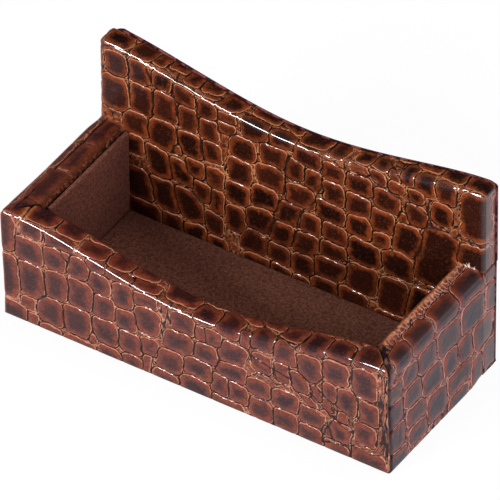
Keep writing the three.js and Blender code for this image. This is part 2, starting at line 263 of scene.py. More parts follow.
BACK_CRUMPLES = """
-20 -16.6 5 46 11 1.9 86; 14.8 35 43.6 55 6 2.2 -46; 44 48 38 54.8 9 1.6 84; 37.4 41.4 41.6 49 9 1.6 84
-21.4 -12.4 49.6 54.8 6 2.2 -46; 8.8 16.8 45.8 49 6 2.2 -46; 32.8 39 18 21.8 6 2.2 -46
29 33 30 40 9 1.6 84; -33 -30 24 33 9 1.6 84
"""
BACK_CREASES = """
-54 47.7 -49.9 45.9 -44.9 46.4 -40.4 46.8 -35.1 47.7; -46 55 -45.6 46.8 -45.6 40.9 -45.1 38.6
-41 52.7 -39.5 49.5 -39 45 -38.8 40.5 -39 37.7; -32.9 53.2 -32.9 48.2 -31.7 40 -32.2 36.4 -30.8 30
-27.2 51.8 -26.2 45 -25.8 38.6 -24.9 33.2 -23.1 26.4; -29.5 20 -24.9 16.6 -19.5 15.2
-14.1 50.5 -10.9 50.7 -6.8 50.2; -4.5 51.8 -.5 50.2 2.7 48 7.3 47.5 11.8 46.4 17.7 45.9 22 47.4
-9.5 37.8 -5 37.8 0 36.4 4.5 35.5 9.1 34.1 15.5 33.8; -9.5 30.5 -5 30.5 -.9 29 4.5 28.4 9.1 27.9 14.5 28
-3.6 21.8 0 21.6 4.5 21.3 9.1 21.7 15 22.2; -12.3 16 -8.2 14.9 -1.8 14.3 2.7 14.1 9.1 16.2 17.7 17.7
.9 46.8 -1.2 40.9 -1.5 33.6 -3.8 25.5 -5 20.9 -6.4 16.4
9.1 45 9.1 38.6 6.9 32.7 2.9 27.3 1.8 22.3 .5 16.4
25 55 27.4 53.2 30.1 50.9 31.9 49.1 33.3 45.5 37.8 42.7 40.5 41 44.2 40 47.8 39.6 53.7 39.3
20.5 48.2 26 45.5 28.7 44.7 31.8 43.6; 30.5 36.4 31.5 37.2 36.5 37.7 40.1 39.5 44.2 39.6 47 39
37.4 47.3 38.7 42.3 37.8 38.2 36.4 33.6 35.1 28.2 34.6 24.5
33.3 44.1 31.7 41.8 29.4 36.4 28.9 33.6 28.2 26.4; 46.8 54.5 46 49.5 45 41.8
16 18.9 21.9 18.8 26.9 19 33.3 19.3 38.7 20.9
"""

# %% Lists for the sides and the rear
# The left wall shows only its rim, and the rear nothing but its upper edge.
RIGHT_SCALES = """
-19.8 -13 27.5 33.6; -12.2 -3.6 27.2 34; -2 7 27.2 34; 8 18.6 27.2 34.2; 19.4 27 27 31; -26 -21 26 31
-16.6 -10.8 20.4 26 -.15; -10.2 -2.8 19.4 26.2; -1.6 7.6 18.4 26 -.1; 9 18.4 18 26.2; 19.6 27 17.9 26
-24 -17.8 20 24.5; -24 -17.4 12.8 18.6; -16.4 -9.2 13.9 19.3; -8.6 -.2 11.5 18.2 -.1; 1 6.5 11.2 17.5
7.2 12.9 10.8 17.2; 14.2 21.8 9.6 17.4; -23.4 -17 5.2 12; -15.5 -8.2 7.4 12.6 -.2; -14.8 -7.2 1 6.6 -.2
-7.4 1 2.6 9.8; 2.2 12 4.6 9.8; 12.8 18 0 7.4; 18.6 25 .5 8.4; -24 -16 -3 4.2; -13 -6 -5 .2
2.6 10.4 -4 3.6
"""
RIGHT_CRUMPLES = "-26 19 34.2 38.6 2.6 1.1 62"
LEFT_SCALES = """
-17 -4.4 32.4 37; -3.2 7 33.6 37; 7.6 17.5 33.6 37; -15 -5.4 25.6 31.6; -4.6 6 25 32.6; 6.8 16 25 32.4
"""
REAR_CRUMPLES = "23 27 -14 70 9 1.6 84; -24 -10 38 50 6 2.2 -46"

# %% From text to numbers
GROW = 0.16


def numbers_of(text):
    """The rows of numbers in a text, split at semicolons and line ends."""
    parts = text.replace("\n", ";").split(";")
    return [[float(word) for word in part.split()] for part in parts if part.strip()]


def scales_of(text):
    """Edges as text to rows of centre, half width, half height and lean, each a little grown."""
    rows = []
    for left, right, low, high, *lean in numbers_of(text):
        half_x, half_y = (right - left) / 2 + GROW, (high - low) / 2 + GROW
        rows.append(((left + right) / 2, (low + high) / 2, half_x, half_y, *(lean or [0])))
    return np.array(rows).reshape(-1, 5)


def creases_of(text):
    """Bent lines as text to one row for each straight piece: where it starts and where it ends."""
    rows = []
    for points in numbers_of(text):
        rows += [points[at : at + 4] for at in range(0, len(points) - 2, 2)]
    return rows


# %% [markdown]
# How far a point is outside a scale comes from the distance to a box with rounded corners. It is
# negative inside. The nearest scale owns the point, and halfway between two scales runs the groove.
# Where the lists leave room, the plate is filled up with scales on a loose lattice.

# %% Distance to a scale, and filling up
FAR = 99.0
SMALL_SCALE = 1.7
SMALL_ROUNDING = 0.35
ROUNDING = 0.56
LOOSENESS = 0.16
LEAST_ROOM = 0.3
MOST_OF_PITCH = 0.42


def outside_of(points, scales):
    """The signed distance from each point to each scale. Small scales have sharper corners."""
    x, y, half_x, half_y, lean = scales.T.astype(np.float32)
    up = points[:, 1:] - y
    across = np.abs(points[:, :1] - x - lean * up)
    least = np.minimum(half_x, half_y)
    corner = np.where(least < SMALL_SCALE, SMALL_ROUNDING, ROUNDING) * least
    over_x, over_y = across - (half_x - corner), np.abs(up) - (half_y - corner)
    outer = np.hypot(np.maximum(over_x, 0), np.maximum(over_y, 0))
    return outer + np.minimum(np.maximum(over_x, over_y), 0) - corner


def fill(scales, patches, span_s, span_t, pitch_s, pitch_t, rng):
    """Adds scales on a lattice wherever the listed ones and the crumpled patches leave room."""
    added = []
    for j, t in enumerate(np.arange(span_t[0] + pitch_t / 2, span_t[1], pitch_t)):
        for s in np.arange(span_s[0] + pitch_s * (0.5 + 0.3 * (j % 2)), span_s[1], pitch_s):
            push = rng.uniform(-LOOSENESS, LOOSENESS, (1, 2)) * (pitch_s, pitch_t)
            place = np.array([[s, t]]) + push
            room = outside_of(place, scales).min() if len(scales) else FAR
            crumpled = any(p[0] < place[0, 0] < p[1] and p[2] < place[0, 1] < p[3] for p in patches)
            if room > LEAST_ROOM * min(pitch_s, pitch_t) and not crumpled:
                half = [min(MOST_OF_PITCH * pitch, room * 1.1) for pitch in (pitch_s, pitch_t)]
                added.append((*place[0], *half, rng.uniform(-0.15, 0.15)))
    return np.vstack([scales, np.array(added)]) if added else scales


# %% [markdown]
# Each sheet has a plate of its own. A plate has a seed, so that it is filled up in its own way, and the
# last two numbers say how far apart the filled-in scales stand.

# %% Five plates
def plate(seed, scales, crumples, creases, span_s, span_t, pitch=(7.4, 7.8)):
    """A sheet's scales, listed and filled in, with its crumpled patches and its long creases."""
    rng = np.random.default_rng(seed)
    patches = numbers_of(crumples)
    filled = fill(scales_of(scales), patches, span_s, span_t, *pitch, rng)
    return filled, patches, creases_of(creases)


front_plate = plate(3, FRONT_SCALES, FRONT_CRUMPLES, FRONT_CREASES, (-62, 62), (-14, 52))
back_plate = plate(11, BACK_SCALES, BACK_CRUMPLES, BACK_CREASES, (-64, 64), (-8, 70))
right_plate = plate(5, RIGHT_SCALES, RIGHT_CRUMPLES, "", (-34, 34), (-14, 56))
left_plate = plate(8, LEFT_SCALES, "", "", (-34, 34), (-15, 57), (8.8, 8.0))
rear_plate = plate(17, "", REAR_CRUMPLES, "", (-64, 64), (-14, 70), (7.0, 7.4))
print("scales:", [len(one[0]) for one in (front_plate, back_plate, right_plate, left_plate, rear_plate)])

# %% [markdown]
# Two distances to the groove are needed. The sharp one draws the thin dark line. The blended one rounds
# off the places where three scales meet, so that no pillow has a hard corner. Every point is compared
# with every scale, which takes much memory, so the points go through in chunks.

# %% Distances on a plate
GROOVE_BLEND = 0.28
RIM_OUT = 0.36
CHUNK = 8192


def distances(s, t, scales):
    """The sharp and the blended distance to the groove, how upright the groove is, and a tone."""
    points = np.stack([s, t], -1).reshape(-1, 2).astype(np.float32)
    x, y = scales.T[:2].astype(np.float32)
    tones = np.random.default_rng(len(scales)).uniform(0, 1, len(scales))
    sharp, soft, upright, tone = (np.empty(len(points)) for _ in range(4))
    for start in range(0, len(points), CHUNK):
        part = slice(start, start + CHUNK)
        outside = outside_of(points[part], scales)
        own = outside.argmin(1)
        least = np.take_along_axis(outside, own[:, None], 1)
        border = (outside - least) / 2
        np.put_along_axis(border, own[:, None], np.inf, 1)
        sharp[part] = border.min(1)
        rim_share = np.exp(-(RIM_OUT - least[:, 0]) / GROOVE_BLEND)
        soft[part] = -GROOVE_BLEND * np.log(np.exp(-border / GROOVE_BLEND).sum(1) + rim_share)
        other = border.argmin(1)
        across, up = np.abs(x[other] - x[own]), np.abs(y[other] - y[own])
        upright[part] = across / (across + up + 0.1)
        tone[part] = tones[own]
    return [field.reshape(np.shape(s)) for field in (sharp, soft, upright, tone)]


# %% [markdown]
# The skin between scales has a net of wrinkles, which are the borders of long cells. Each crumpled patch
# has its own net, finer or coarser, that runs its own way. A listed crease is a chain of straight
# pieces, and the nearest of them counts.

# %% Wrinkles and creases
# A patch without edges covers all the skin between scales.
OPEN_SKIN = [-FAR, FAR, -FAR, FAR, 5.0, 2.4, -40]


def wrinkles(s, t, patches, seed):
    """The distance to the nearest wrinkle of the open skin: long cells that run each patch's way."""
    border = np.empty(s.shape)
    for left, right, low, high, long, short, degrees in [OPEN_SKIN, *patches]:
        near = (s > left) & (s < right) & (t > low) & (t < high)
        c, w = math.cos(math.radians(degrees)), math.sin(math.radians(degrees))
        along, across = s[near] * c + t[near] * w, t[near] * c - s[near] * w
        border[near] = cells(along / long, across / short, seed) * short
    return border


def nearest_crease(s, t, creases):
    """The distance from each point to the nearest listed crease."""
    nearest = np.full(s.shape, FAR)
    for x, y, end_x, end_y in creases:
        run, rise = end_x - x, end_y - y
        along = np.clip(((s - x) * run + (t - y) * rise) / (run**2 + rise**2), 0, 1)
        nearest = np.minimum(nearest, np.hypot(s - x - along * run, t - y - along * rise))
    return nearest


# %% [markdown]
# The relief puts these together. A scale is a low pillow with a lip along its rim, a groove is a dark
# line pressed between, and fine noise gives the grain. Hairline creases stray over the scales too. The
# finish later needs the same distances, so they are handed on as facts: `gap` is the distance to the
# groove in groove widths, and the depth fact is how far in from the rim of its scale a point lies.
# Some sheets later add painted shade to the depth fact, which darkens a point like a scale's centre.

# %% Relief
RELIEF = 0.36
LIFT = 0.12
SKIN_EDGE = 0.17
SKIN_SLOPE = 1.3
SCALE_SLOPE = 1.4
GROOVE_WIDTH = 0.15
WIDER_UPRIGHT = 0.17
NARROWER_IN_SKIN = 0.01
UNEVEN_WIDTH = 0.07
GROOVE_DEPTH = 0.13
STRAY_LENGTH, STRAY_WIDTH = 9, 3.5
STRAY_SHARPNESS = 0.25
STRAY_FAINTNESS = 0.82
PILLOW_ROUNDING = 0.38
LIP_AT, LIP_WIDTH, LIP_HEIGHT = 0.28, 0.18, 0.07
CRUMPLE_HEIGHT, GRAIN_HEIGHT, WAVE_HEIGHT = 0.05, 0.012, 0.04
# How far the pattern is pushed about, and over what length, both in millimetres.
WOBBLE = ((0.38, 2.6), (0.15, 0.9))


def wobble(s, t, seed):
    """A small push at each point, so that no edge is straight."""
    return sum(push * noise(s, t, length, seed + i) for i, (push, length) in enumerate(WOBBLE))


def emboss(s, t, hide, seed):
    """The relief in millimetres and what the finish needs to know at each point."""
    scales, patches, creases = hide
    s_bent, t_bent = s + wobble(s, t, seed), t + wobble(s, t, seed + 2)
    sharp, soft, upright, tone = distances(s_bent, t_bent, scales)

    # Open skin starts a little outside the scales, and its wrinkles fade out close to them.
    outward = -(soft + SKIN_EDGE)
    skin = outward > 0
    wrinkle = wrinkles(s_bent, t_bent, patches, seed + 40) + 0.3 * (1 - smooth_step(outward, 0, 0.3))
    in_skin = np.minimum(wrinkle, SKIN_SLOPE * outward)
    sharp = np.where(skin, in_skin, np.minimum(sharp, -SCALE_SLOPE * outward))
    soft = np.where(skin, SKIN_SLOPE * np.minimum(wrinkle, outward), soft)
    crease = nearest_crease(s_bent, t_bent, creases)
    sharp, soft = np.minimum(sharp, crease), np.minimum(soft, crease)

    # Grooves that run up the sheet are wider than those that run along it.
    width = GROOVE_WIDTH + WIDER_UPRIGHT * upright * ~skin - NARROWER_IN_SKIN * skin
    width = width + UNEVEN_WIDTH * noise(s, t, 5.0, seed + 4)

    # Stray creases are the borders of long cells that run slantwise. They show only here and there.
    along, across = 0.8 * s_bent + 0.6 * t_bent, 0.8 * t_bent - 0.6 * s_bent
    stray = cells(along / STRAY_LENGTH, across / STRAY_WIDTH, seed + 41) * STRAY_WIDTH
    hidden = 1 - smooth_step(noise(s, t, 7.0, seed + 11), -0.15, 0.25)
    gap = np.minimum(sharp / width, STRAY_FAINTNESS + stray / STRAY_SHARPNESS + 3 * hidden)
    groove = bell(gap, 1)

    # The heights: pillow, lip and groove first, then the crumpled skin, the grain and slow waves.
    soft = soft + 0.07 * noise(s, t, 0.6, seed + 5) * smooth_step(soft, 0, 0.3)
    pillow = 1 - np.exp(-np.maximum(soft, 0) / PILLOW_ROUNDING)
    lip = bell(soft - LIP_AT, LIP_WIDTH)
    crumple = 1 - np.abs(noise(s, t, 1.1, seed + 5) + 0.5 * noise(s, t, 0.55, seed + 6)) * 2
    crumple = smooth_step(crumple, 0.3, 1.0) * skin * (1 - groove)
    grain = noise(s, t, 0.7, seed + 7) + 0.6 * noise(s, t, 0.35, seed + 8)
    waves = noise(s, t, 3.0, seed + 9)
    height = LIFT + RELIEF * (pillow - 1) + LIP_HEIGHT * lip - GROOVE_DEPTH * groove
    height += CRUMPLE_HEIGHT * crumple + GRAIN_HEIGHT * grain + WAVE_HEIGHT * waves
    return height, {"gap": gap, "depth_in_and_shade": soft, "crumple": crumple, "tone": tone}


def over_edge(height, facts, d, drop):
    """Leather pulled over an edge loses relief and takes a polish.

    `d` is how deep behind the face a point lies, and `drop` how far below the edge. The polish ends
    within a millimetre below the edge and two behind it.
    """
    facts["edge"] = (1 - smooth_step(drop, 0.5, 0.95)) * (1 - smooth_step(d, 0.9, 1.8))
    return height * (0.2 + 0.8 * smooth_step(d + drop, 0.9, 1.9))


# %% [markdown]
# ## Folding a sheet round a board
# A wrap has a profile: under the base, up the face, over the top edge and down the inside. Each stop on
# it is a depth from the outer face, a height, and a share. The height counts from the foot where the
# share is 0 and from the top edge where it is 1, because the top edge is curved. The inner side of the
# leather closes the loop, so that the sheet is as thick as real leather.

# %% Profiles
QUARTER = math.pi / 2


class Profile:
    """Stops along a sheet's section: depth, height, share of the top edge, and whether it is outside."""

    def __init__(self):
        self.stops = []

    def start(self, point):
        """The first stop, a (depth, height, share) on the outer side."""
        self.stops.append((*point, True))
        return point

    def line(self, start, end, steps, outside=True):
        """Straight from start to end, each a (depth, height, share)."""
        for i in range(1, steps + 1):
            u = i / steps
            stop = [a + (b - a) * u for a, b in zip(start, end)]
            self.stops.append((*stop, outside))
        return end

    def arc(self, centre, radius, begin, end, steps, outside=True):
        """A round about a centre (depth, height, share), with angles in quarter turns from +depth."""
        for i in range(1, steps + 1):
            angle = (begin + (end - begin) * i / steps) * QUARTER
            depth = centre[0] + radius * math.cos(angle)
            height = centre[1] + radius * math.sin(angle)
            self.stops.append((depth, height, centre[2], outside))
        return self.stops[-1][:3]

    def table(self):
        """All stops, one in a row."""
        return np.array(self.stops, dtype=float)


# %% [markdown]
# All wraps turn under the base in the same way. The fold itself hangs a little lower than the sheet,
# because folded leather never lies quite flat, and it has room beside the thick felt.

# %% The wraps' section
FINE = 0.26
ARC_PITCH = FINE * 0.8
TURN_UNDER = 8.0
TURN_IN = 12.0
FOLD = 0.35
FOLD_IN = 1.35
FOLD_FOOT = 0.22
INNER_ROUND = 0.3


def steps_for(length, pitch=FINE):
    """How many steps of about that pitch a length takes."""
    return max(1, round(length / pitch))


def foot_fold(profile):
    """The turn under the base, from its cut edge to the foot of the outer face."""
    at = profile.start((TURN_UNDER, foot_height, 0))
    at = profile.line(at, (FOLD_IN + 0.4, foot_height, 0), 5)
    at = profile.line(at, (FOLD_IN, FOLD_FOOT, 0), 1)
    at = profile.line(at, (FOLD, FOLD_FOOT, 0), 3)
    return profile.arc((FOLD, FOLD_FOOT + FOLD, 0), FOLD, -1, -2, 3)


def foot_inside(profile, thick):
    """The inner side of the same fold."""
    low = foot_height + thick
    profile.line(profile.stops[-1][:3], (thick, low + INNER_ROUND, 0), 4, False)
    at = profile.arc((thick + INNER_ROUND, low + INNER_ROUND, 0), INNER_ROUND, 2, 3, 2, False)
    profile.line(at, (TURN_UNDER, low, 0), 2, False)


def wrap_profile(edge, roll, thick):
    """The section of a wrap with rounded top edges: outside and then back along the inner side."""
    profile = Profile()
    at = foot_fold(profile)
    at = profile.line(at, (0, -edge, 1), steps_for(rim_height - edge - FOLD_FOOT))
    at = profile.arc((edge, -edge, 1), edge, 2, 1, steps_for(edge * QUARTER, ARC_PITCH))
    at = profile.line(at, (wall - roll, 0, 1), steps_for(wall - roll - edge))
    at = profile.arc((wall - roll, -roll, 1), roll, 1, 0, steps_for(roll * QUARTER, ARC_PITCH))
    at = profile.line(at, (wall, -roll - 2, 1), steps_for(2))
    at = profile.line(at, (wall, -TURN_IN, 1), 4)
    back = wall - thick
    at = profile.line(at, (back, -TURN_IN, 1), 1, False)
    at = profile.line(at, (back, -thick - INNER_ROUND, 1), 3, False)
    at = profile.arc((back - INNER_ROUND, -thick - INNER_ROUND, 1), INNER_ROUND, 0, 1, 2, False)
    outer = max(edge - thick, INNER_ROUND)
    at = profile.line(at, (thick + outer, -thick, 1), 2, False)
    profile.arc((thick + outer, -thick - outer, 1), outer, 1, 2, 3, False)
    foot_inside(profile, thick)
    return profile.table()


# %% [markdown]
# The mesh itself is a grid primitive. Its vertices are moved to their places on the folded sheet, as a
# lattice or a shape key would move them, and pushed out along the surface by the relief. Then its last
# row is merged with its first, and both ends are filled, so that the leather has its real thickness.
# Extruding a section along a curve is the other way, but it can't give each point its own relief.

# %% Mesh helpers
def select_only(piece):
    """Deselects everything else, because operators act on all that is selected."""
    bpy.ops.object.select_all(action="DESELECT")
    piece.select_set(True)
    bpy.context.view_layer.objects.active = piece


def grid(name, columns, rows):
    """A grid primitive, with each vertex's column and row."""
    bpy.ops.object.select_all(action="DESELECT")
    bpy.ops.mesh.primitive_grid_add(x_subdivisions=columns - 1, y_subdivisions=rows - 1, size=2)
    piece = bpy.context.object
    piece.name = piece.data.name = name
    flat = np.empty(len(piece.data.vertices) * 3)
    piece.data.vertices.foreach_get("co", flat)
    flat = flat.reshape(-1, 3)
    column = np.rint((flat[:, 0] + 1) / 2 * (columns - 1)).astype(int)
    row = np.rint((flat[:, 1] + 1) / 2 * (rows - 1)).astype(int)
    return piece, column, row


def store(piece, key, values):
    """Keeps one number for each vertex as an attribute, which the finish can read."""
    layer = piece.data.attributes.new(key, "FLOAT", "POINT")
    layer.data.foreach_set("value", values.astype(np.float32))


def close_band(piece):
    """Merges the last row with the first and fills both ends."""
    select_only(piece)
    bpy.ops.object.mode_set(mode="EDIT")
    bpy.ops.mesh.select_mode(type="VERT")
    bpy.ops.mesh.select_all(action="SELECT")
    bpy.ops.mesh.remove_doubles(threshold=0.002 * METRE)
    bpy.ops.mesh.select_all(action="DESELECT")
    bpy.ops.mesh.select_non_manifold(
        extend=False,
        use_wire=False,
        use_multi_face=False,
        use_non_contiguous=False,
        use_verts=False,
    )
    bpy.ops.mesh.edge_face_add()
    bpy.ops.mesh.select_all(action="SELECT")
    bpy.ops.mesh.normals_make_consistent(inside=False)
    bpy.ops.object.mode_set(mode="OBJECT")
    select_only(piece)
    bpy.ops.object.shade_smooth_by_angle(angle=math.radians(70))


# %% Make a folded sheet
def outward_normals(base, count):
    """Unit normals of the outer side, the first `count` rows, turned away from the inner side."""
    outer = base[:count]
    normal = np.cross(np.gradient(outer, axis=1), np.gradient(outer, axis=0))
    normal = normal / np.maximum(np.linalg.norm(normal, axis=-1, keepdims=True), 1e-9)
    row, column = count // 3, base.shape[1] // 2
    from_inner_side = base[row, column] - base[-2, column]
    return -normal if (normal[row, column] * from_inner_side).sum() < 0 else normal


def folded_sheet(name, profile, columns, ends, top, place, relief, start_t=-0.5):
    """A band swept along `ends`, closed along its profile. `relief` gives height and facts at s, t."""
    depth, height, share, outside = profile.T
    start, end = ends(depth)
    s = start[:, None] + (end - start)[:, None] * np.linspace(0, 1, columns)[None]
    z = height[:, None] + share[:, None] * top(s) + np.zeros_like(s)
    d = np.broadcast_to(depth[:, None], s.shape)
    base = place(s, d, z)

    # t is measured along the leather, so that the pattern isn't stretched where the sheet is bent.
    step = np.hypot(np.diff(d, axis=0), np.diff(z, axis=0))
    run = np.vstack([np.zeros((1, columns)), np.cumsum(step, axis=0)])
    face = int(depth.argmin())
    t = run - run[face] + z[face] + start_t

    # The relief fades out at the foot, where the sheet is creased tight round the base.
    count = int((outside > 0.5).sum())
    outer_z = z[:count]
    lift, facts = relief(s[:count], t[:count], d[:count], outer_z)
    lift = lift * (0.15 + 0.85 * smooth_step(outer_z, 0.3, 1.3))
    if "gap" in facts:
        facts["gap"] = facts["gap"] * smooth_step(outer_z, 0.2, 0.9)
    points = base.copy()
    points[:count] += outward_normals(base, count) * lift[..., None]

    piece, column, row = grid(name, columns, len(depth) + 1)
    row = row % len(depth)
    piece.data.vertices.foreach_set("co", (points[row, column] * METRE).ravel())
    for key, field in facts.items():
        full = np.zeros(s.shape)
        full[:count] = field
        store(piece, key, full[row, column])
    store(piece, "raw", np.where(row < count, 0.0, 1.0))
    close_band(piece)
    print(name, "vertices", len(piece.data.vertices), "faces", len(piece.data.polygons))
    return piece


def square_ends(low, high):
    """Both ends cut square, at the same place all through the leather's thickness."""
    return lambda depth: (np.full_like(depth, low), np.full_like(depth, high))


# %% [markdown]
# ## Front wall
# The front sheet runs along the wall and meets the side sheets in a mitre at each end. Its cut ends are
# pressed down a little, which gives the thin dark seam at each corner. At the left end of its top edge
# the leather is doubled: it is smoother there, and two ridges with a dark line between mark the lap.
# Both side walls stand a little crooked, so the front sheet's ends follow them.

# %% Front leather
SEAM = 0.15
LAP = 5.2
RIDGE = 0.3
RIDGES_APART = 1.0
FLARE = 0.8
FOOT_FLARE = 0.55
FRONT_EDGE = 1.3
TURNED_EDGE = 1.2


def seam_press(distance, reach=0.5, drop=0.4):
    """Leather presses down towards a cut end."""
    return -drop * (1 - smooth_step(distance, 0, reach))


def front_relief(s, t, d, z):
    """The pattern, the pressed ends at the mitres, and the lap."""
    lift, facts = emboss(s, t, front_plate, 20)
    lift = over_edge(lift, facts, d, front_top(s) - z)
    to_end = half_width - SEAM - d - np.abs(s)
    lift = lift + seam_press(to_end, 0.3, 0.25)
    on_top = smooth_step(d, 0.4, 1.1)
    past_lap = s + half_width - LAP + 0.25 * waver(d, 1.5, 71)
    ridges = (bell(past_lap, RIDGE) + 0.8 * bell(past_lap - RIDGES_APART, RIDGE)) * on_top
    between = bell(past_lap - RIDGES_APART / 2, 0.2) * on_top
    smooth_end = (1 - smooth_step(past_lap, -0.5, 0.1)) * on_top
    lift = lift * (1 - 0.6 * smooth_end) + 0.4 * ridges - 0.2 * between
    facts["depth_in_and_shade"] = facts["depth_in_and_shade"] + 0.5 * smooth_end
    facts["gap"] = (facts["gap"] + 0.5 * smooth_end + ridges) * (1 - 0.9 * between)
    facts["bead"] = np.maximum(0.8 * bell(to_end, 0.35) * (1 - smooth_end), ridges)
    facts["edge"] = np.maximum(facts["edge"], 0.15)
    return lift, facts


def mitre_ends(depth):
    """The deeper in the wall, the shorter the sheet."""
    end = half_width - depth - SEAM
    return -end, end


def flare(x, y, z):
    """The left wall leans outwards towards its top, most at the front, and the right one at its foot."""
    before_back = 1 - smooth_step(y, back_face - 6, back_face - 0.3)
    to_front = 1 - smooth_step(y, -half_depth, -half_depth + 20)
    left = smooth_step(-x, half_width - 12, half_width) * smooth_step(z, 4, rim_height)
    left = left * (0.5 + 0.5 * to_front)
    right = smooth_step(x, half_width - 12, half_width) * (1 - smooth_step(z, 3, 22))
    return x + (FOOT_FLARE * right - FLARE * left) * before_back


front_leather = folded_sheet(
    "front_wrap",
    wrap_profile(FRONT_EDGE, TURNED_EDGE, leather),
    steps_for(2 * half_width) + 1,
    mitre_ends,
    front_top,
    lambda s, d, z: np.stack([flare(s, d - half_depth, z), d - half_depth, z], -1),
    front_relief,
)

# %% [markdown]
# ## Side walls
# The side sheets run from the front mitre to the back. Their outer top edge is rounder than the front
# wall's. On the right wall the leather stands up along the inner edge in a crinkled bead, where it was
# turned in, and catches the light. The left wall has no bead: its rim is calmer, one long fold line
# runs along it, and where it rolls inwards its colour is darkened as painted shade. One function makes
# both, and two numbers say how much bead and how much fold line a wall has, each with its painted shade.

# %% Side leathers
SOFT_EDGES = {-1: 1.4, 1: 2.6}
ROLL_EDGE = 1.8
ROLL_AT = 0.75
BEAD_WIDTH = 0.45
BEAD_HEIGHT = 0.15
PLEAT_HEIGHT = 0.4
FOLD_LINE_AT = 2.5
FOLD_LINE_DEPTH = 0.25
CLEARANCE = 0.05
WALLS = ((-1, "left", left_plate, 60), (1, "right", right_plate, 100))
BEAD_AND_STRIP_SHADE = {-1: 0.15, 1: 1.0}
CREASE_AND_ROLL_SHADE = {-1: 1.0, 1: 0.0}


def rim_relief(lift, facts, s, d, on_rim, seed, bead_and_strip_shade, crease_and_roll_shade):
    """The bead, or the fold line and the painted shade of the inward roll, along a side wall's rim."""
    calm = crease_and_roll_shade * on_rim
    lift = lift * (1 - 0.5 * calm)
    facts["depth_in_and_shade"] = facts["depth_in_and_shade"] + 0.15 * calm
    facts["gap"] = facts["gap"] + 0.4 * calm
    pleat = smooth_step(cells(s / 0.75 + 0.8 * d, d / 2.5, seed + 30), 0.03, 0.22)
    from_inner = d - (wall - ROLL_AT) + 0.2 * waver(s, 3.0, seed + 31)
    bead = bead_and_strip_shade * bell(from_inner, BEAD_WIDTH) * on_rim
    beside = 0.3 * bead_and_strip_shade * bell(from_inner + 0.9, 0.2) * on_rim
    fold_line = crease_and_roll_shade * bell(d - FOLD_LINE_AT - 0.2 * waver(s, 4.0, seed + 32), 0.3) * on_rim
    lift = lift * (1 - 0.8 * bead) + bead * (BEAD_HEIGHT + PLEAT_HEIGHT * pleat)
    lift = lift - FOLD_LINE_DEPTH * fold_line
    gap = facts["gap"] * (1 - bead) + bead * (0.85 + 1.1 * pleat)
    gap = gap * (1 - fold_line) * (1 - beside)
    # Painted shade: the colour darkens where the leather rolls over the inner edge.
    roll_shade = crease_and_roll_shade * smooth_step(from_inner, -0.9, 0.2)
    facts["gap"] = gap + 0.5 * bead_and_strip_shade * smooth_step(from_inner, -2.2, -0.8) * on_rim + 1.3 * roll_shade
    facts["depth_in_and_shade"] = facts["depth_in_and_shade"] + 1.6 * roll_shade
    facts["bead"] = bead * (0.6 + 0.4 * pleat)
    return lift


def side_relief(hide, seed, bead_and_strip_shade, crease_and_roll_shade):
    """The pattern, the rim, the ragged dark gap and a strip of painted shade at the front corner, and the
    lap at the back.
    """

    def relief(s, t, d, z):
        lift, facts = emboss(s, t, hide, seed)
        lift = over_edge(lift, facts, d * 0.5, (rim_height - z) * 0.5)
        on_rim = smooth_step(z, rim_height - 3.0, rim_height - 0.4)
        lift = rim_relief(lift, facts, s, d, on_rim, seed, bead_and_strip_shade, crease_and_roll_shade)
        to_front = s + half_depth - SEAM - d
        ragged = (0.3 + 0.4 * bead_and_strip_shade) * (1 + 1.6 * waver(t, 2.2, seed + 33))
        facts["gap"] = facts["gap"] * smooth_step(to_front, ragged, ragged + 0.3)
        # Painted shade: beside the front mitre a strip is darkened like a scale's centre.
        strip = 1.5 + 1.0 * waver(t, 2.6, seed + 34)
        strip_shade = 1 - smooth_step(to_front, strip, strip + 0.6)
        facts["depth_in_and_shade"] = facts["depth_in_and_shade"] + 3 * bead_and_strip_shade * strip_shade
        facts["edge"] = np.maximum(facts["edge"], 0.12 if bead_and_strip_shade > 0.5 else 0.4)
        lap = bell(back_face - s, 0.6) * on_rim * smooth_step(d, 0.8, 2.0)
        facts["bead"] = np.clip(facts["bead"] + 0.5 * lap, 0, 1)
        return lift + seam_press(to_front, 1.1, 0.45) + 0.45 * lap, facts

    return relief


def side_ends(depth):
    """A mitre at the front, and a square cut at the back."""
    return -half_depth + depth + SEAM, np.full_like(depth, back_face - CLEARANCE)


def wall_place(side):
    """s runs towards the back, and depth goes inwards from the wall's outer face."""
    return lambda s, d, z: np.stack([flare(side * (half_width - d), s, z), s, z], -1)


side_leathers = {}
for side, word, hide, seed in WALLS:
    side_leathers[f"{word}_wrap"] = folded_sheet(
        f"{word}_wrap",
        wrap_profile(SOFT_EDGES[side], ROLL_EDGE, leather),
        steps_for(half_depth + back_face) + 1,
        side_ends,
        rim,
        wall_place(side),
        side_relief(hide, seed, BEAD_AND_STRIP_SHADE[side], CREASE_AND_ROLL_SHADE[side]),
    )

# %% [markdown]
# ## Sleeves
# Behind each side wall the sheet goes on as a flat sleeve over the end of the back board, up to the
# rim. It needs no fold, so a plate will do: fine on its outer face and plain behind. It carries the
# side wall's pattern on, because it asks for the same plate and seed at its own place.

# %% Sleeves
SLEEVE_TOP = rim_height - 0.5
sleeve_end = corners("right_leather")[1][1]


def plate_profile(low, high, thick):
    """A flat sheet between two heights with its outer face at depth 0."""
    profile = Profile()
    at = profile.start((0, low, 0))
    at = profile.line(at, (0, high, 0), steps_for(high - low))
    at = profile.line(at, (thick, high, 0), 1, False)
    profile.line(at, (thick, low, 0), 1, False)
    return profile.table()


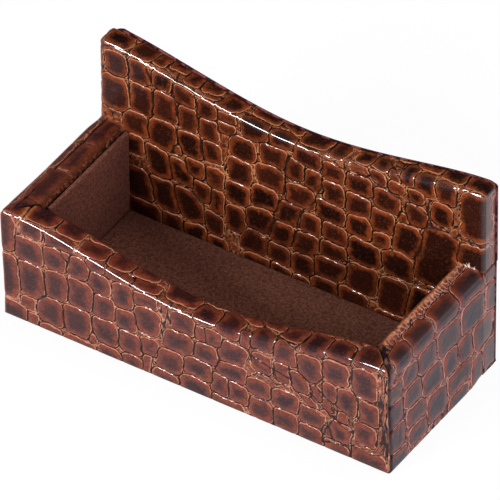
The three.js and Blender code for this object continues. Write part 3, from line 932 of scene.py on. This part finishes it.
def sleeve_relief(hide, seed):
    """The side's pattern. The sleeve's top edge is pressed down and dark."""

    def relief(s, t, d, z):
        lift, facts = emboss(s, t, hide, seed)
        below_top = SLEEVE_TOP - z
        facts["bead"] = np.zeros_like(lift)
        facts["edge"] = facts["bead"] + 0.4
        facts["gap"] = facts["gap"] * smooth_step(below_top, 0.1, 0.5)
        return lift + seam_press(below_top, 0.6, 0.3), facts

    return relief


def end_place(side):
    """A flat sheet on the left or right end of the holder."""
    return lambda s, d, z: np.stack([side * (half_width - d), s, z], -1)


for side, word, hide, seed in WALLS:
    side_leathers[f"{word}_sleeve"] = folded_sheet(
        f"{word}_sleeve",
        plate_profile(FOLD_FOOT, SLEEVE_TOP, leather),
        steps_for(sleeve_end - back_face) + 1,
        square_ends(back_face - CLEARANCE, sleeve_end),
        rim,
        end_place(side),
        sleeve_relief(hide, seed),
    )

# %% [markdown]
# ## Back
# The back's sheet covers its inner face, goes over the curved top edge and bends round both ends, so it
# has rounded corners in two directions. Turning a point about the corner's centre by the angle that
# its distance along the sheet gives makes both bends and the ball of the corner at once. A bevelled
# block would be rounded as well, but its pattern would tear at the corners.

# %% Where the back's leather lies
BEND = 1.2
PARED = 0.4
bend_start = half_width - BEND
sheet_half = bend_start + BEND * QUARTER
hidden_end = half_width - leather - 0.2
shrink_from = half_width - wall - 1.0
back_reach = half_depth - PARED - CLEARANCE - back_face


def back_place(s, d, z, radius):
    """A point of the back sheet: s along it, d behind its face, z up, bent round the ends.

    Below the rim the sheet can't bend round, because the side walls stand there. Its ends are drawn
    in a little instead, and stop behind them.
    """
    along = np.abs(s)
    above = z > rim_height - 0.8
    angle = np.where(above, np.clip((along - bend_start) / BEND, 0, QUARTER), 0)
    squeeze = (hidden_end - shrink_from) / (sheet_half - shrink_from)
    below = np.where(along > shrink_from, shrink_from + (along - shrink_from) * squeeze, along)
    straight = np.where(above, np.minimum(along, bend_start), below)
    corner = back_top(s) - BEND
    x = np.sign(s) * (straight + radius * np.sin(angle))
    y = np.where(d < BEND, back_face + BEND - (BEND - d) * np.cos(angle), back_face + d)
    z_bent = np.where(z > corner, corner + (z - corner) * np.cos(angle), z)
    return np.stack([x, y, z_bent], -1)


# %% Back leather
def back_profile():
    """The back's section: up the face, over the top edge, and back along the inner side."""
    profile = Profile()
    low, waist = floor_top - 1.5, rim_height - 1.0
    at = profile.start((0, low, 0))
    at = profile.line(at, (0, waist, 0), steps_for(waist - low))
    at = profile.line(at, (0, -BEND, 1), steps_for(back_height - BEND - rim_height))
    at = profile.arc((BEND, -BEND, 1), BEND, 2, 1, 9)
    at = profile.line(at, (back_reach, 0, 1), steps_for(back_reach - BEND))
    at = profile.line(at, (back_reach, -leather, 1), 1, False)
    at = profile.line(at, (BEND, -leather, 1), 2, False)
    at = profile.arc((BEND, -BEND, 1), BEND - leather, 1, 2, 3, False)
    at = profile.line(at, (leather, waist, 0), 3, False)
    profile.line(at, (leather, low, 0), 3, False)
    return profile.table()


def back_relief(s, t, d, z):
    """The pattern, flatter round the ends, where the stretched leather also shines a little."""
    lift, facts = emboss(s, t, back_plate, 140)
    lift = over_edge(lift, facts, d, back_top(s) - z)
    lift = lift * smooth_step(back_reach - d, -0.2, 0.8)
    lift = lift * (1 - 0.6 * smooth_step(np.abs(s), bend_start - 0.4, bend_start + 0.4))
    facts["bead"] = np.zeros_like(lift)
    round_end = smooth_step(np.abs(s), bend_start + 0.2, bend_start + 1.3)
    round_end = round_end * smooth_step(z, rim_height - 1, rim_height)
    facts["edge"] = np.maximum(facts["edge"], 0.35 * round_end)
    return lift + seam_press(back_reach - d, 0.4, 0.2), facts


back_section = back_profile()
back_outside = int((back_section[:, 3] > 0.5).sum())


def back_point(s, d, z):
    """The outer rows bend with the full radius, and the inner rows with what the leather leaves."""
    radius = np.where(np.arange(len(s))[:, None] < back_outside, BEND, BEND - leather)
    return back_place(s, d, z, radius)


back_leather = folded_sheet(
    "back_wrap",
    back_section,
    steps_for(2 * half_width) + 1,
    square_ends(-sheet_half, sheet_half),
    back_top,
    back_point,
    back_relief,
    0.0,
)

# %% [markdown]
# Round each end the back's sheet goes on to the rear. These end folds are plates like the sleeves. They
# carry the back's own pattern on, flatter and with more glaze, because the leather is stretched there.

# %% End folds
fold_low = SLEEVE_TOP + 0.2
fold_high = float(back_top(half_width)) - BEND


def end_relief(side):
    """The back's pattern at the distance that the sheet has run when it reaches the end."""

    def relief(s, t, d, z):
        along = side * (sheet_half + s - back_face - BEND)
        lift, facts = back_relief(along, t, np.zeros_like(s), z)
        facts["edge"] = np.zeros_like(lift) + 0.4
        facts["gap"] = facts["gap"] + 0.3
        return lift * 0.6, facts

    return relief


end_folds = [
    folded_sheet(
        f"{word}_end_fold",
        plate_profile(fold_low, fold_high, leather),
        steps_for(back_reach - BEND) + 1,
        square_ends(back_face + BEND, back_face + back_reach),
        rim,
        end_place(side),
        end_relief(side),
        0.0,
    )
    for side, word in ((-1, "left"), (1, "right"))
]

# %% [markdown]
# ## Frayed fibres
# The right wrap's raw end meets the back, and a few pale fibres of it have worked loose there. Their
# near-white colour is partly painted highlight, for the glint on that corner. Hair curves would do for
# many, but so few are as quick as short tapering cones. Each leans away from the corner, and all of
# them are joined into one piece.

# %% Fibres at the right wrap's end
FIBRES = 14
FRAYED_AT = 50.6
rng = np.random.default_rng(210)
fibres = []
for _ in range(FIBRES):
    foot = np.array([FRAYED_AT + rng.uniform(-1.3, 1.2), back_face - 0.35, rim_height + 0.1])
    lean = np.array([rng.uniform(-1.0, 0.15), rng.uniform(-0.25, 0.0), rng.uniform(0.35, 1.0)])
    lean /= np.linalg.norm(lean)
    length = rng.uniform(0.6, 1.7)
    bpy.ops.object.select_all(action="DESELECT")
    bpy.ops.mesh.primitive_cone_add(
        vertices=5,
        radius1=0.11 * METRE,
        radius2=0.04 * METRE,
        depth=length * METRE,
        location=(foot + lean * length / 2) * METRE,
        rotation=Vector(lean).to_track_quat("Z", "Y").to_euler(),
    )
    fibres.append(bpy.context.active_object)
for fibre in fibres:
    fibre.select_set(True)
bpy.ops.object.join()
bpy.ops.object.transform_apply(location=True, rotation=True, scale=True)
frayed = bpy.context.active_object
frayed.name = "frayed_fibres"
print("frayed_fibres", len(frayed.data.vertices), "vertices")

# %% [markdown]
# ## Rear sheet
# The last sheet covers the rear face. It was cut a little proud of the top edge, so its raw edge shows
# as a thin dark line, and it turns under the base like the others. It wasn't laid quite straight: its
# right end stands out past the back, and its left end is raised a little, with the corner cut off. It
# is a folded sheet again, and small pushes in its place function make it crooked.

# %% Rear leather
LIP = rear_lip / 2
HEM = 0.2
REAR_PITCH = 0.32
REAR_PROUD = 0.4
REAR_TUCK = 1.8
REAR_RAISED = 0.35
REAR_CUT = 0.6
rear_end = half_width - CLEARANCE


def rear_profile(thick):
    """Up the rear face, over the pared top edge, and back down inside."""
    profile = Profile()
    at = foot_fold(profile)
    at = profile.line(at, (0, LIP - HEM, 1), steps_for(back_height - FOLD_FOOT, REAR_PITCH))
    at = profile.arc((HEM, LIP - HEM, 1), HEM, 2, 1, 3)
    at = profile.line(at, (PARED, LIP, 1), 1, False)
    at = profile.line(at, (PARED, -2, 1), 2, False)
    profile.line(at, (thick, -5, 1), 1, False)
    foot_inside(profile, thick)
    return profile.table()


def rear_relief(s, t, d, z):
    """The pattern, pressed flat towards the cut ends and the top edge."""
    lift, facts = emboss(s, t, rear_plate, 180)
    facts["bead"] = facts["edge"] = np.zeros_like(lift)
    to_end = rear_end - np.abs(s)
    lift = lift * smooth_step(back_top(s) + LIP - z, 0.2, 1.6) * smooth_step(to_end, 0.1, 1.2)
    facts["gap"] = facts["gap"] * smooth_step(to_end, 0.0, 0.4)
    return lift + seam_press(to_end, 0.5, 0.25), facts


def rear_place(s, d, z):
    """Proud of the back's right end, raised towards the left, and with its top corners taken off."""
    to_right = smooth_step(s, half_width - 8, half_width) * smooth_step(z, rim_height - 0.6, rim_height)
    to_left = smooth_step(-s, half_width - 6, half_width)
    to_left = to_left * smooth_step(z, back_height - 4, back_height - 0.5)
    corner = smooth_step(np.abs(s), half_width - 2.5, half_width)
    corner = corner * smooth_step(z, back_height - 3, back_height)
    raised = smooth_step(-s, -5, 25) * smooth_step(z, back_top(s) - 6, back_top(s))
    x = s + REAR_PROUD * to_right + REAR_TUCK * to_left
    return np.stack([x, half_depth - d, z - REAR_CUT * corner + REAR_RAISED * raised], -1)


rear_leather = folded_sheet(
    "rear_wrap",
    rear_profile(leather),
    steps_for(2 * rear_end, REAR_PITCH) + 1,
    square_ends(-rear_end, rear_end),
    back_top,
    rear_place,
    rear_relief,
)

# %% [markdown]
# ## Suede lining
# Each lining is a thin card with suede drawn over it and turned down behind. Suede has a short nap, so
# its surface is never flat: a fine relief of noise breaks up the light, and the top edge is rounded.
# Each is made as a folded sheet too, because its top edge follows its wall's.

# %% Suede
NAP_PITCH = 0.42
SUEDE = 0.3
SUEDE_TURN = 4.0
# The nap's noises: how large their features are and how high they stand, both in millimetres.
NAP = ((0.9, 0.035), (0.45, 0.03), (7.0, 0.05))
NAP_SUNK = 0.05
lining = lining_outer - lining_side


def lining_profile():
    """Up the visible face, over the round top edge and a little way down behind."""
    profile = Profile()
    round_top = lining / 2
    at = profile.start((0, lining_foot, 0))
    at = profile.line(at, (0, -round_top, 1), steps_for(lining_top - lining_foot, NAP_PITCH))
    at = profile.arc((round_top, -round_top, 1), round_top, 2, 0, 8)
    at = profile.line(at, (lining, -SUEDE_TURN, 1), 3)
    at = profile.line(at, (lining - SUEDE, -SUEDE_TURN, 1), 1, False)
    at = profile.line(at, (lining - SUEDE, -round_top, 1), 1, False)
    at = profile.arc((round_top, -round_top, 1), round_top - SUEDE, 0, 2, 4, False)
    profile.line(at, (SUEDE, lining_foot, 0), 1, False)
    return profile.table()


def nap(seed):
    """Suede's relief: two fine noises, and a broad one for the uneven card below."""

    def relief(s, t, d, z):
        rough = sum(noise(s, t, size, seed + i) * height for i, (size, height) in enumerate(NAP))
        return rough - NAP_SUNK, {"tone": noise(s, t, 1.6, seed + 3) * 0.5 + 0.5}

    return relief


def lining_place(side):
    """A side lining: s runs towards the back, and depth goes outwards from the well."""
    return lambda s, d, z: np.stack([side * (lining_side + d), s, z], -1)


suedes = {}
suedes["front_lining"] = folded_sheet(
    "front_lining",
    lining_profile(),
    steps_for(2 * lining_outer, NAP_PITCH) + 1,
    square_ends(-lining_outer, lining_outer),
    lambda x: front_top(x) - (rim_height - lining_top),
    lambda s, d, z: np.stack([s, well_front - d, z], -1),
    nap(220),
)
for side, word, seed in ((-1, "left", 230), (1, "right", 240)):
    suedes[f"{word}_lining"] = folded_sheet(
        f"{word}_lining",
        lining_profile(),
        steps_for(back_face - well_front, NAP_PITCH) + 1,
        square_ends(well_front + CLEARANCE, back_face - CLEARANCE),
        lambda _: lining_top,
        lining_place(side),
        nap(seed),
    )

# %% [markdown]
# The floor pad is a box primitive, because it is flat and nothing but its nap is uneven. Its edges are
# bevelled, its upper face is subdivided, and a Displace modifier with a clouds texture raises the nap.

# %% Floor pad
pad_low, pad_high = corners("floor_suede")
bpy.ops.object.select_all(action="DESELECT")
bpy.ops.mesh.primitive_cube_add(size=1, location=(0, 0, 0))
floor_pad = bpy.context.object
floor_pad.name = floor_pad.data.name = "floor_pad"
pad_size = Matrix.Diagonal((*((pad_high - pad_low) * METRE), 1))
floor_pad.data.transform(Matrix.Translation((pad_low + pad_high) / 2 * METRE) @ pad_size)
bpy.ops.object.mode_set(mode="EDIT")
bpy.ops.mesh.select_all(action="SELECT")
bpy.ops.mesh.bevel(offset=0.35 * METRE, segments=3, affect="EDGES")
bpy.ops.mesh.select_all(action="DESELECT")
bpy.ops.object.mode_set(mode="OBJECT")
for polygon in floor_pad.data.polygons:
    polygon.select = polygon.normal.z > 0.99
bpy.ops.object.mode_set(mode="EDIT")
bpy.ops.mesh.subdivide(number_cuts=90)
bpy.ops.mesh.select_all(action="DESELECT")
bpy.ops.object.mode_set(mode="OBJECT")
clouds = bpy.data.textures.new("nap", "CLOUDS")
clouds.noise_scale = 0.9 * METRE
clouds.noise_depth = 2
select_only(floor_pad)
displace = floor_pad.modifiers.new("nap", "DISPLACE")
displace.texture = clouds
displace.texture_coords = "LOCAL"
displace.strength = 0.09 * METRE
displace.mid_level = 0.6
bpy.ops.object.modifier_apply(modifier="nap")
bpy.ops.object.shade_smooth_by_angle(angle=math.radians(60))
print("floor pad", len(floor_pad.data.vertices), "vertices")

# %% [markdown]
# ## Shader arithmetic
# A material is a small calculation. Wrapping a socket in a class lets the calculation be written as an
# expression, and each operator adds one Math node. Colours go through Mix nodes, because a Math node
# would turn them grey.

# %% Node helpers
ATTRIBUTE_NUMBER = 2
OBJECT_COORDINATES = 3
MIXED_COLOUR = 2


class Value:
    """An output socket that can be added, multiplied and so on."""

    def __init__(self, graph, socket):
        self.graph, self.socket = graph, socket

    def _math(self, operation, a, b):
        return self.graph.add("ShaderNodeMath", {"operation": operation}, {0: a, 1: b})

    def __add__(self, other):
        return self._math("ADD", self, other)

    def __sub__(self, other):
        return self._math("SUBTRACT", self, other)

    def __rsub__(self, other):
        return self._math("SUBTRACT", other, self)

    def __mul__(self, other):
        return self._math("MULTIPLY", self, other)

    __radd__ = __add__
    __rmul__ = __mul__


class Graph:
    """The nodes of one material or world."""

    def __init__(self, owner):
        owner.use_nodes = True
        self.tree = owner.node_tree
        self.tree.nodes.clear()

    def add(self, kind, settings=None, inputs=None, output=0):
        """Adds a node: its settings first, then the values or links of its sockets."""
        node = self.tree.nodes.new(kind)
        for key, value in (settings or {}).items():
            setattr(node, key, value)
        for key, value in (inputs or {}).items():
            if isinstance(value, Value):
                self.tree.links.new(value.socket, node.inputs[key])
            else:
                node.inputs[key].default_value = value
        return Value(self, node.outputs[output]) if len(node.outputs) else node

    def attribute(self, name):
        """A number that the mesh keeps for each vertex."""
        return self.add("ShaderNodeAttribute", {"attribute_name": name}, output=ATTRIBUTE_NUMBER)

    def climb(self, value, low, high):
        """A smooth step from 0 at low to 1 at high."""
        inputs = {"Value": value, "From Min": low, "From Max": high}
        return self.add("ShaderNodeMapRange", {"interpolation_type": "SMOOTHSTEP"}, inputs)

    def mix(self, factor, a, b):
        """A blend of two colours. The Mix node keeps those at its sockets 6 and 7."""
        return self.add("ShaderNodeMix", {"data_type": "RGBA"}, {0: factor, 6: a, 7: b}, MIXED_COLOUR)

    def noise(self, size_mm, detail=3.0, roughness=0.55):
        """Noise over the object's own coordinates, with features of about that size."""
        where = self.add("ShaderNodeTexCoord", output=OBJECT_COORDINATES)
        scale = 1 / (size_mm * METRE)
        inputs = {"Vector": where, "Scale": scale, "Detail": detail, "Roughness": roughness}
        return self.add("ShaderNodeTexNoise", {}, inputs)

    def bump(self, height, strength, distance_mm, below=None):
        """Fine relief for the light alone, on top of the bump below it."""
        inputs = {"Height": height, "Strength": strength, "Distance": distance_mm * METRE}
        if below:
            inputs["Normal"] = below
        return self.add("ShaderNodeBump", {}, inputs)

    def surface(self, inputs):
        """The shader itself, joined to the material's output."""
        shader = self.add("ShaderNodeBsdfPrincipled", {}, inputs)
        self.add("ShaderNodeOutputMaterial", {}, {"Surface": shader})


def srgb(red, green, blue):
    """A colour given as 8 bit values, as the linear colour that nodes use."""
    shares = [value / 255 for value in (red, green, blue)]
    linear = [c / 12.92 if c <= 0.04045 else ((c + 0.055) / 1.055) ** 2.4 for c in shares]
    return (*linear, 1.0)


# %% [markdown]
# ## Leather finish
# The leather is dyed dark, rubbed back so that the raised rims turn copper, and glazed. A picture of it
# could be wrapped round the mesh, but colour follows the relief anyway, and the mesh already knows how
# far each point is from a groove and from a rim. So a scale is nearly black in the groove, copper on
# the rim, red brown down the flank and dark in the middle, and noise wears all of that unevenly. The
# glaze is a clear coat over a rougher base. It is thickest where the leather was polished over an edge.

# %% Leather material
SCALE_TINT = srgb(96, 42, 22)
PORE = srgb(30, 12, 9)
WORN_SPECK = srgb(150, 84, 52)
FURROW = srgb(24, 9, 6)
BEAD_LIGHT, BEAD_DARK = srgb(214, 132, 76), srgb(98, 50, 26)
RAW_DARK, RAW_LIGHT = srgb(46, 20, 24), srgb(118, 66, 66)
# A painted reflection: the glaze's mirrored light is tinted lilac, like cool daylight.
PAINTED_DAYLIGHT_TINT = srgb(206, 184, 246)
GLAZE_IOR = 2.0


def leather_material(name, glaze_roughness, sky, reach, copper, flank, centre):
    """The finish for one kind of sheet.

    `sky` is how much it mirrors, in a painted lilac tint of cool daylight, and `reach` the width in
    millimetres over which a scale darkens from its rim to its centre. `copper` and `flank` are pairs of
    colours that noise blends.
    """
    material = bpy.data.materials.new(name)
    graph = Graph(material)
    gap, depth_in_and_shade, crumple = (graph.attribute(key) for key in ("gap", "depth_in_and_shade", "crumple"))
    tone, bead, edge, raw = (graph.attribute(key) for key in ("tone", "bead", "edge", "raw"))
    cloud = graph.noise(2.4, 4.0, 0.6)
    speck = graph.noise(0.9, 3.0, 0.7)
    fine = graph.noise(0.40, 3.0, 0.8)
    wander = (cloud - 0.5) * 1.8 + (speck - 0.5) * 0.8 + (fine - 0.5) * 0.6

    # Dye: from the flank's red brown to the dark centre, a little different from scale to scale.
    # Painted shade that was added to the depth fact darkens in the same way.
    inward = graph.climb(depth_in_and_shade + wander, 0.15, reach)
    body = graph.mix(inward, graph.mix(graph.climb(cloud, 0.3, 0.7), *flank), centre)
    body = graph.mix(tone * 0.2, body, SCALE_TINT)

    # Rubbed back: copper along the rims and on the crumples, then pores and pale specks.
    rim_line = graph.climb(depth_in_and_shade, 0.0, 0.07) * (1 - graph.climb(depth_in_and_shade, 0.12, 0.27))
    worn = 0.65 + 0.35 * graph.climb(cloud + speck * 0.5, 0.6, 0.9)
    rubbed = graph.mix(speck, *copper)
    body = graph.mix(rim_line * worn, body, rubbed)
    body = graph.mix(crumple * 0.3, body, rubbed)
    body = graph.mix(graph.climb(fine, 0.50, 0.68) * 0.55, body, PORE)
    body = graph.mix(graph.climb(fine, 0.46, 0.30) * 0.30, body, WORN_SPECK)

    # Dark grooves, pale beads, and the raw inner side.
    furrow = 1 - graph.climb(gap, 0.55, 1.2)
    body = graph.mix(furrow * 0.95, body, FURROW)
    bead_colour = graph.mix(fine, BEAD_LIGHT, BEAD_DARK)
    body = graph.mix(bead * 0.85 * (1 - furrow * 0.7), body, bead_colour)
    raw_colour = graph.mix(graph.climb(cloud, 0.46, 0.56), RAW_DARK, RAW_LIGHT)
    body = graph.mix(raw, body, raw_colour)

    # Glaze: full on polished edges, broken dashes along the rims, and little elsewhere.
    dashes = graph.climb(cloud, 0.42, 0.62) * 0.5
    shine = (0.05 + edge * 0.95 + rim_line * dashes) * (1 - 0.6 * furrow)
    grain = graph.bump(speck, 0.25, 0.12)
    graph.surface({
        "Base Color": body,
        "Roughness": 0.36 + 0.14 * speck + 0.4 * raw,
        "IOR": GLAZE_IOR,
        "Specular IOR Level": sky,
        "Specular Tint": PAINTED_DAYLIGHT_TINT,
        "Coat Weight": shine * (1 - raw),
        "Coat Roughness": glaze_roughness,
        "Coat IOR": GLAZE_IOR,
        "Normal": graph.bump(graph.climb(depth_in_and_shade, -0.1, 0.4), 1.0, 0.07, grain),
    })
    print(name, "nodes:", len(graph.tree.nodes))
    return material


# %% [markdown]
# The three finishes are lit and shaded copies of one leather, which differ because the sheets face
# different ways. The back's deepest brown is painted shade. The front's paler, redder colours are
# painted light, with a little painted reflection in its pinkish copper. The side leather faces the
# daylight, which lies on it as a broad cool sheen, so it mirrors more sky, its glaze is rougher, and its
# pale lilac copper is a painted reflection.

# %% Three leather finishes
# Painted shade: the back's colours are a darker copy of the leather.
back_shaded_finish = leather_material(
    "crocodile_leather",
    glaze_roughness=0.08,
    sky=0.03,
    reach=1.8,
    copper=(srgb(214, 152, 106), srgb(148, 88, 54)),
    flank=(srgb(122, 54, 24), srgb(84, 37, 17)),
    centre=srgb(13, 4, 3),
)
# Painted light: the front's colours are a paler, redder copy, and its pinkish copper a painted reflection.
front_lit_finish = leather_material(
    "front_leather",
    glaze_roughness=0.08,
    sky=0.048,
    reach=2.4,
    copper=(srgb(208, 148, 114), srgb(154, 96, 66)),
    flank=(srgb(118, 51, 30), srgb(85, 36, 24)),
    centre=srgb(36, 9, 10),
)
# Painted reflection: the side's copper is pale and lilac, like the cool sky's sheen.
side_sheen_finish = leather_material(
    "side_leather",
    glaze_roughness=0.38,
    sky=0.125,
    reach=2.5,
    copper=(srgb(226, 168, 144), srgb(168, 112, 92)),
    flank=(srgb(122, 51, 28), srgb(88, 36, 20)),
    centre=srgb(18, 4, 6),
)

# %% [markdown]
# ## Suede, board, card and felt
# Suede scatters light from its nap, which sheen gives, and shows lighter and darker strokes where it was
# brushed. The board, card and felt hardly show, but each still has its own fibres: one function makes
# them all from two tones of fine noise.

# %% Other materials
def suede_material():
    """Brown suede: broad strokes, and pale and dark ends of the nap."""
    material = bpy.data.materials.new("suede")
    graph = Graph(material)
    stroke = graph.noise(9.0, 3.0)
    nap_ends = graph.noise(0.55, 4.0, 0.8)
    nap_roots = graph.noise(0.9, 3.0, 0.8)
    body = graph.mix(stroke, srgb(79, 46, 37), srgb(98, 60, 48))
    body = graph.mix(graph.climb(nap_ends, 0.44, 0.60) * 0.6, body, srgb(130, 84, 66))
    body = graph.mix(graph.climb(nap_roots, 0.48, 0.60) * 0.55, body, srgb(42, 22, 18))
    graph.surface({
        "Base Color": body,
        "Roughness": 0.95,
        "Specular IOR Level": 0.1,
        "Sheen Weight": 0.25,
        "Sheen Roughness": 0.6,
        "Sheen Tint": srgb(150, 100, 80),
        "Normal": graph.bump(nap_ends, 0.5, 0.15),
    })
    print("suede nodes:", len(graph.tree.nodes))
    return material


def fibre_material(name, dark, light, size_mm, roughness):
    """Pressed fibres: two tones of one colour in fine noise."""
    material = bpy.data.materials.new(name)
    graph = Graph(material)
    fibre = graph.noise(size_mm, 5.0, 0.75)
    graph.surface({
        "Base Color": graph.mix(graph.climb(fibre, 0.3, 0.7), dark, light),
        "Roughness": roughness,
        "Normal": graph.bump(fibre, 0.4, 0.2),
    })
    print(name, "nodes:", len(graph.tree.nodes))
    return material


suede_finish = suede_material()
# Each takes its dark and its light tone, the size of its fibres in millimetres, and its roughness.
board_finish = fibre_material("fibreboard", srgb(150, 112, 72), srgb(188, 150, 104), 0.8, 0.85)
card_finish = fibre_material("grey_card", srgb(120, 116, 108), srgb(158, 154, 146), 0.5, 0.9)
# The loose fibres' pale tone is their own. Their near-white tone is a painted highlight.
fibre_and_glint_finish = fibre_material("pale_fibre", srgb(206, 168, 148), srgb(250, 232, 216), 0.4, 0.7)
felt_finish = fibre_material("felt", srgb(30, 20, 16), srgb(56, 38, 30), 0.6, 0.98)

# %% [markdown]
# ## Dress the pieces
# Each new piece rides on the body and stands for its solid, which is hidden. The left wall shows little
# but its rim, so it is finished like the front, and the back's folded ends like the right wall. The
# solids that stay get their material in place of the plain one.

# %% Assign
def dress(piece, finish, slot, *nodes):
    """Gives a piece its finish, hangs it on the body and hides the solids that it stands for."""
    piece.data.materials.clear()
    piece.data.materials.append(finish)
    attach(piece, "root")
    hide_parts(*nodes)
    print(piece.name, "replaces", *nodes)


dress(front_leather, front_lit_finish, "leather", "front_leather")
for word, finish in (("left", front_lit_finish), ("right", side_sheen_finish)):
    dress(side_leathers[f"{word}_wrap"], finish, "leather", f"{word}_leather")
    dress(side_leathers[f"{word}_sleeve"], finish, "leather", f"{word}_leather")
    dress(suedes[f"{word}_lining"], suede_finish, "suede", f"{word}_lining_suede")
dress(frayed, fibre_and_glint_finish, "leather", "right_leather")
dress(back_leather, back_shaded_finish, "leather", "back_leather")
# The end folds take the side's painted sheen.
for piece in end_folds:
    dress(piece, side_sheen_finish, "leather", "back_leather")
dress(rear_leather, back_shaded_finish, "leather", "rear_leather")
dress(suedes["front_lining"], suede_finish, "suede", "front_lining_suede")
dress(floor_pad, suede_finish, "suede", "floor_suede")

kept = {"board": board_finish, "card": card_finish, "felt": felt_finish}
for part in frame["record"]["subparts"]:
    finish = kept.get(part["material_slot"])
    if finish:
        for material_slot in frame["nodes"][part["node"]].material_slots:
            material_slot.material = finish

# %% [markdown]
# ## Floor, light and camera
# A glossy coat shows its surroundings, so the studio matters as much as the finish. The floor is a pale
# paper that keeps the holder's shadow. To the camera and in reflections it is close to white, because
# the light path tells its material when it is seen and when it only catches light.

# %% Floor and world
PAPER_GLOW = 0.94
CAMERA_RAY, GLOSSY_RAY, TRANSMISSION_RAY = 0, 3, 6

bpy.ops.object.select_all(action="DESELECT")
bpy.ops.mesh.primitive_plane_add(size=24, location=(0, 0, -0.4 * METRE))
floor = bpy.context.object
floor.name = "studio_floor"
floor_material = bpy.data.materials.new("pale_floor")
floor_graph = Graph(floor_material)
seen = floor_graph.add("ShaderNodeLightPath", output=CAMERA_RAY)
mirrored = floor_graph.add("ShaderNodeLightPath", output=GLOSSY_RAY)
through = floor_graph.add("ShaderNodeLightPath", output=TRANSMISSION_RAY)
paper = floor_graph.add("ShaderNodeBsdfDiffuse", {}, {"Color": (0.94, 0.96, 0.98, 1)})
glow = floor_graph.add("ShaderNodeEmission", {}, {"Color": (1, 1, 1, 1), "Strength": 1.0})
share = (seen + mirrored + through) * PAPER_GLOW
mixed = floor_graph.add("ShaderNodeMixShader", {}, {0: share, 1: paper, 2: glow})
floor_graph.add("ShaderNodeOutputMaterial", {}, {"Surface": mixed})
floor.data.materials.append(floor_material)

world = bpy.data.worlds.new("studio")
bpy.context.scene.world = world
world_graph = Graph(world)
background = world_graph.add("ShaderNodeBackground", {}, {"Color": (0.93, 0.96, 1.0, 1), "Strength": 0.10})
world_graph.add("ShaderNodeOutputWorld", {}, {"Surface": background})
print("floor at", round(floor.location.z / METRE, 2), "mm")

# %% [markdown]
# A long softbox in front and a little to the left is the only lamp that the glaze mirrors. It draws the
# white line along the folded top edges. Three wider lamps fill in from the front, the right and above.
# They are kept out of reflections, so that they don't grey the dark scales.

# %% Lamps
def softbox(name, direction, distance, size, power, mirrored=True, colour=(1, 1, 1)):
    """An area light that looks at the holder from a direction. Glazes may be kept from mirroring it."""
    bpy.ops.object.select_all(action="DESELECT")
    data = bpy.data.lights.new(name, "AREA")
    data.shape = "RECTANGLE"
    data.size, data.size_y = size
    data.energy = power
    data.color = colour
    lamp = bpy.data.objects.new(name, data)
    bpy.context.scene.collection.objects.link(lamp)
    lamp.visible_glossy = mirrored
    away = np.array(direction) / np.linalg.norm(direction)
    centre = (np.array(cad_bounds[0]) + np.array(cad_bounds[1])) / 2
    side_axis = np.cross((0, 0, 1), away)
    side_axis /= np.linalg.norm(side_axis)
    turn = np.eye(4)
    turn[:3, 0], turn[:3, 1], turn[:3, 2] = side_axis, np.cross(away, side_axis), away
    turn[:3, 3] = centre + away * distance
    lamp.matrix_world = Matrix(turn.tolist())
    print(name, "power", power, "W")


LILAC = (0.95, 0.86, 1.0)
softbox("key", (-0.27, -0.80, 0.55), distance=1.2, size=(0.56, 0.20), power=11)
softbox("front_fill", (0.0, -1.0, 0.10), distance=1.6, size=(1.6, 0.4), power=17.5, mirrored=False)
softbox("right_fill", (1.0, -0.25, 0.30), 1.5, (1.2, 0.7), 13.5, mirrored=False, colour=LILAC)
softbox("top_fill", (0.1, 0.2, 1.0), distance=1.5, size=(0.8, 0.8), power=11.5, mirrored=False)

# %% [markdown]
# The camera's turns and place come from a fit to ten corners of the holder. Its lens is long and it
# stands far off, so the holder's edges run nearly parallel in the picture.

# %% Camera
AZIMUTH, ELEVATION, ROLL = 0.57943, 0.70822, -0.00807
FOCAL_PIXELS, FRAME_PIXELS = 14215.0, 500
SENSOR_MM = 36
AIM_RIGHT, AIM_UP, CAMERA_DISTANCE = 0.04846, 20.70833, 3372.99

camera_data = bpy.data.cameras.new("camera")
camera_data.sensor_width = SENSOR_MM
camera_data.lens = FOCAL_PIXELS / FRAME_PIXELS * SENSOR_MM
camera_data.clip_start, camera_data.clip_end = 0.05, 100
camera = bpy.data.objects.new("camera", camera_data)
bpy.context.scene.collection.objects.link(camera)
turn = Matrix.Rotation(AZIMUTH, 4, "Z") @ Matrix.Rotation(QUARTER - ELEVATION, 4, "X")
turn = turn @ Matrix.Rotation(ROLL, 4, "Z")
place = (AIM_RIGHT * METRE, AIM_UP * METRE, CAMERA_DISTANCE * METRE)
camera.matrix_world = turn @ Matrix.Translation(place)
bpy.context.scene.camera = camera
bpy.context.scene.view_settings.view_transform = "Standard"
print("lens", round(camera_data.lens), "mm")
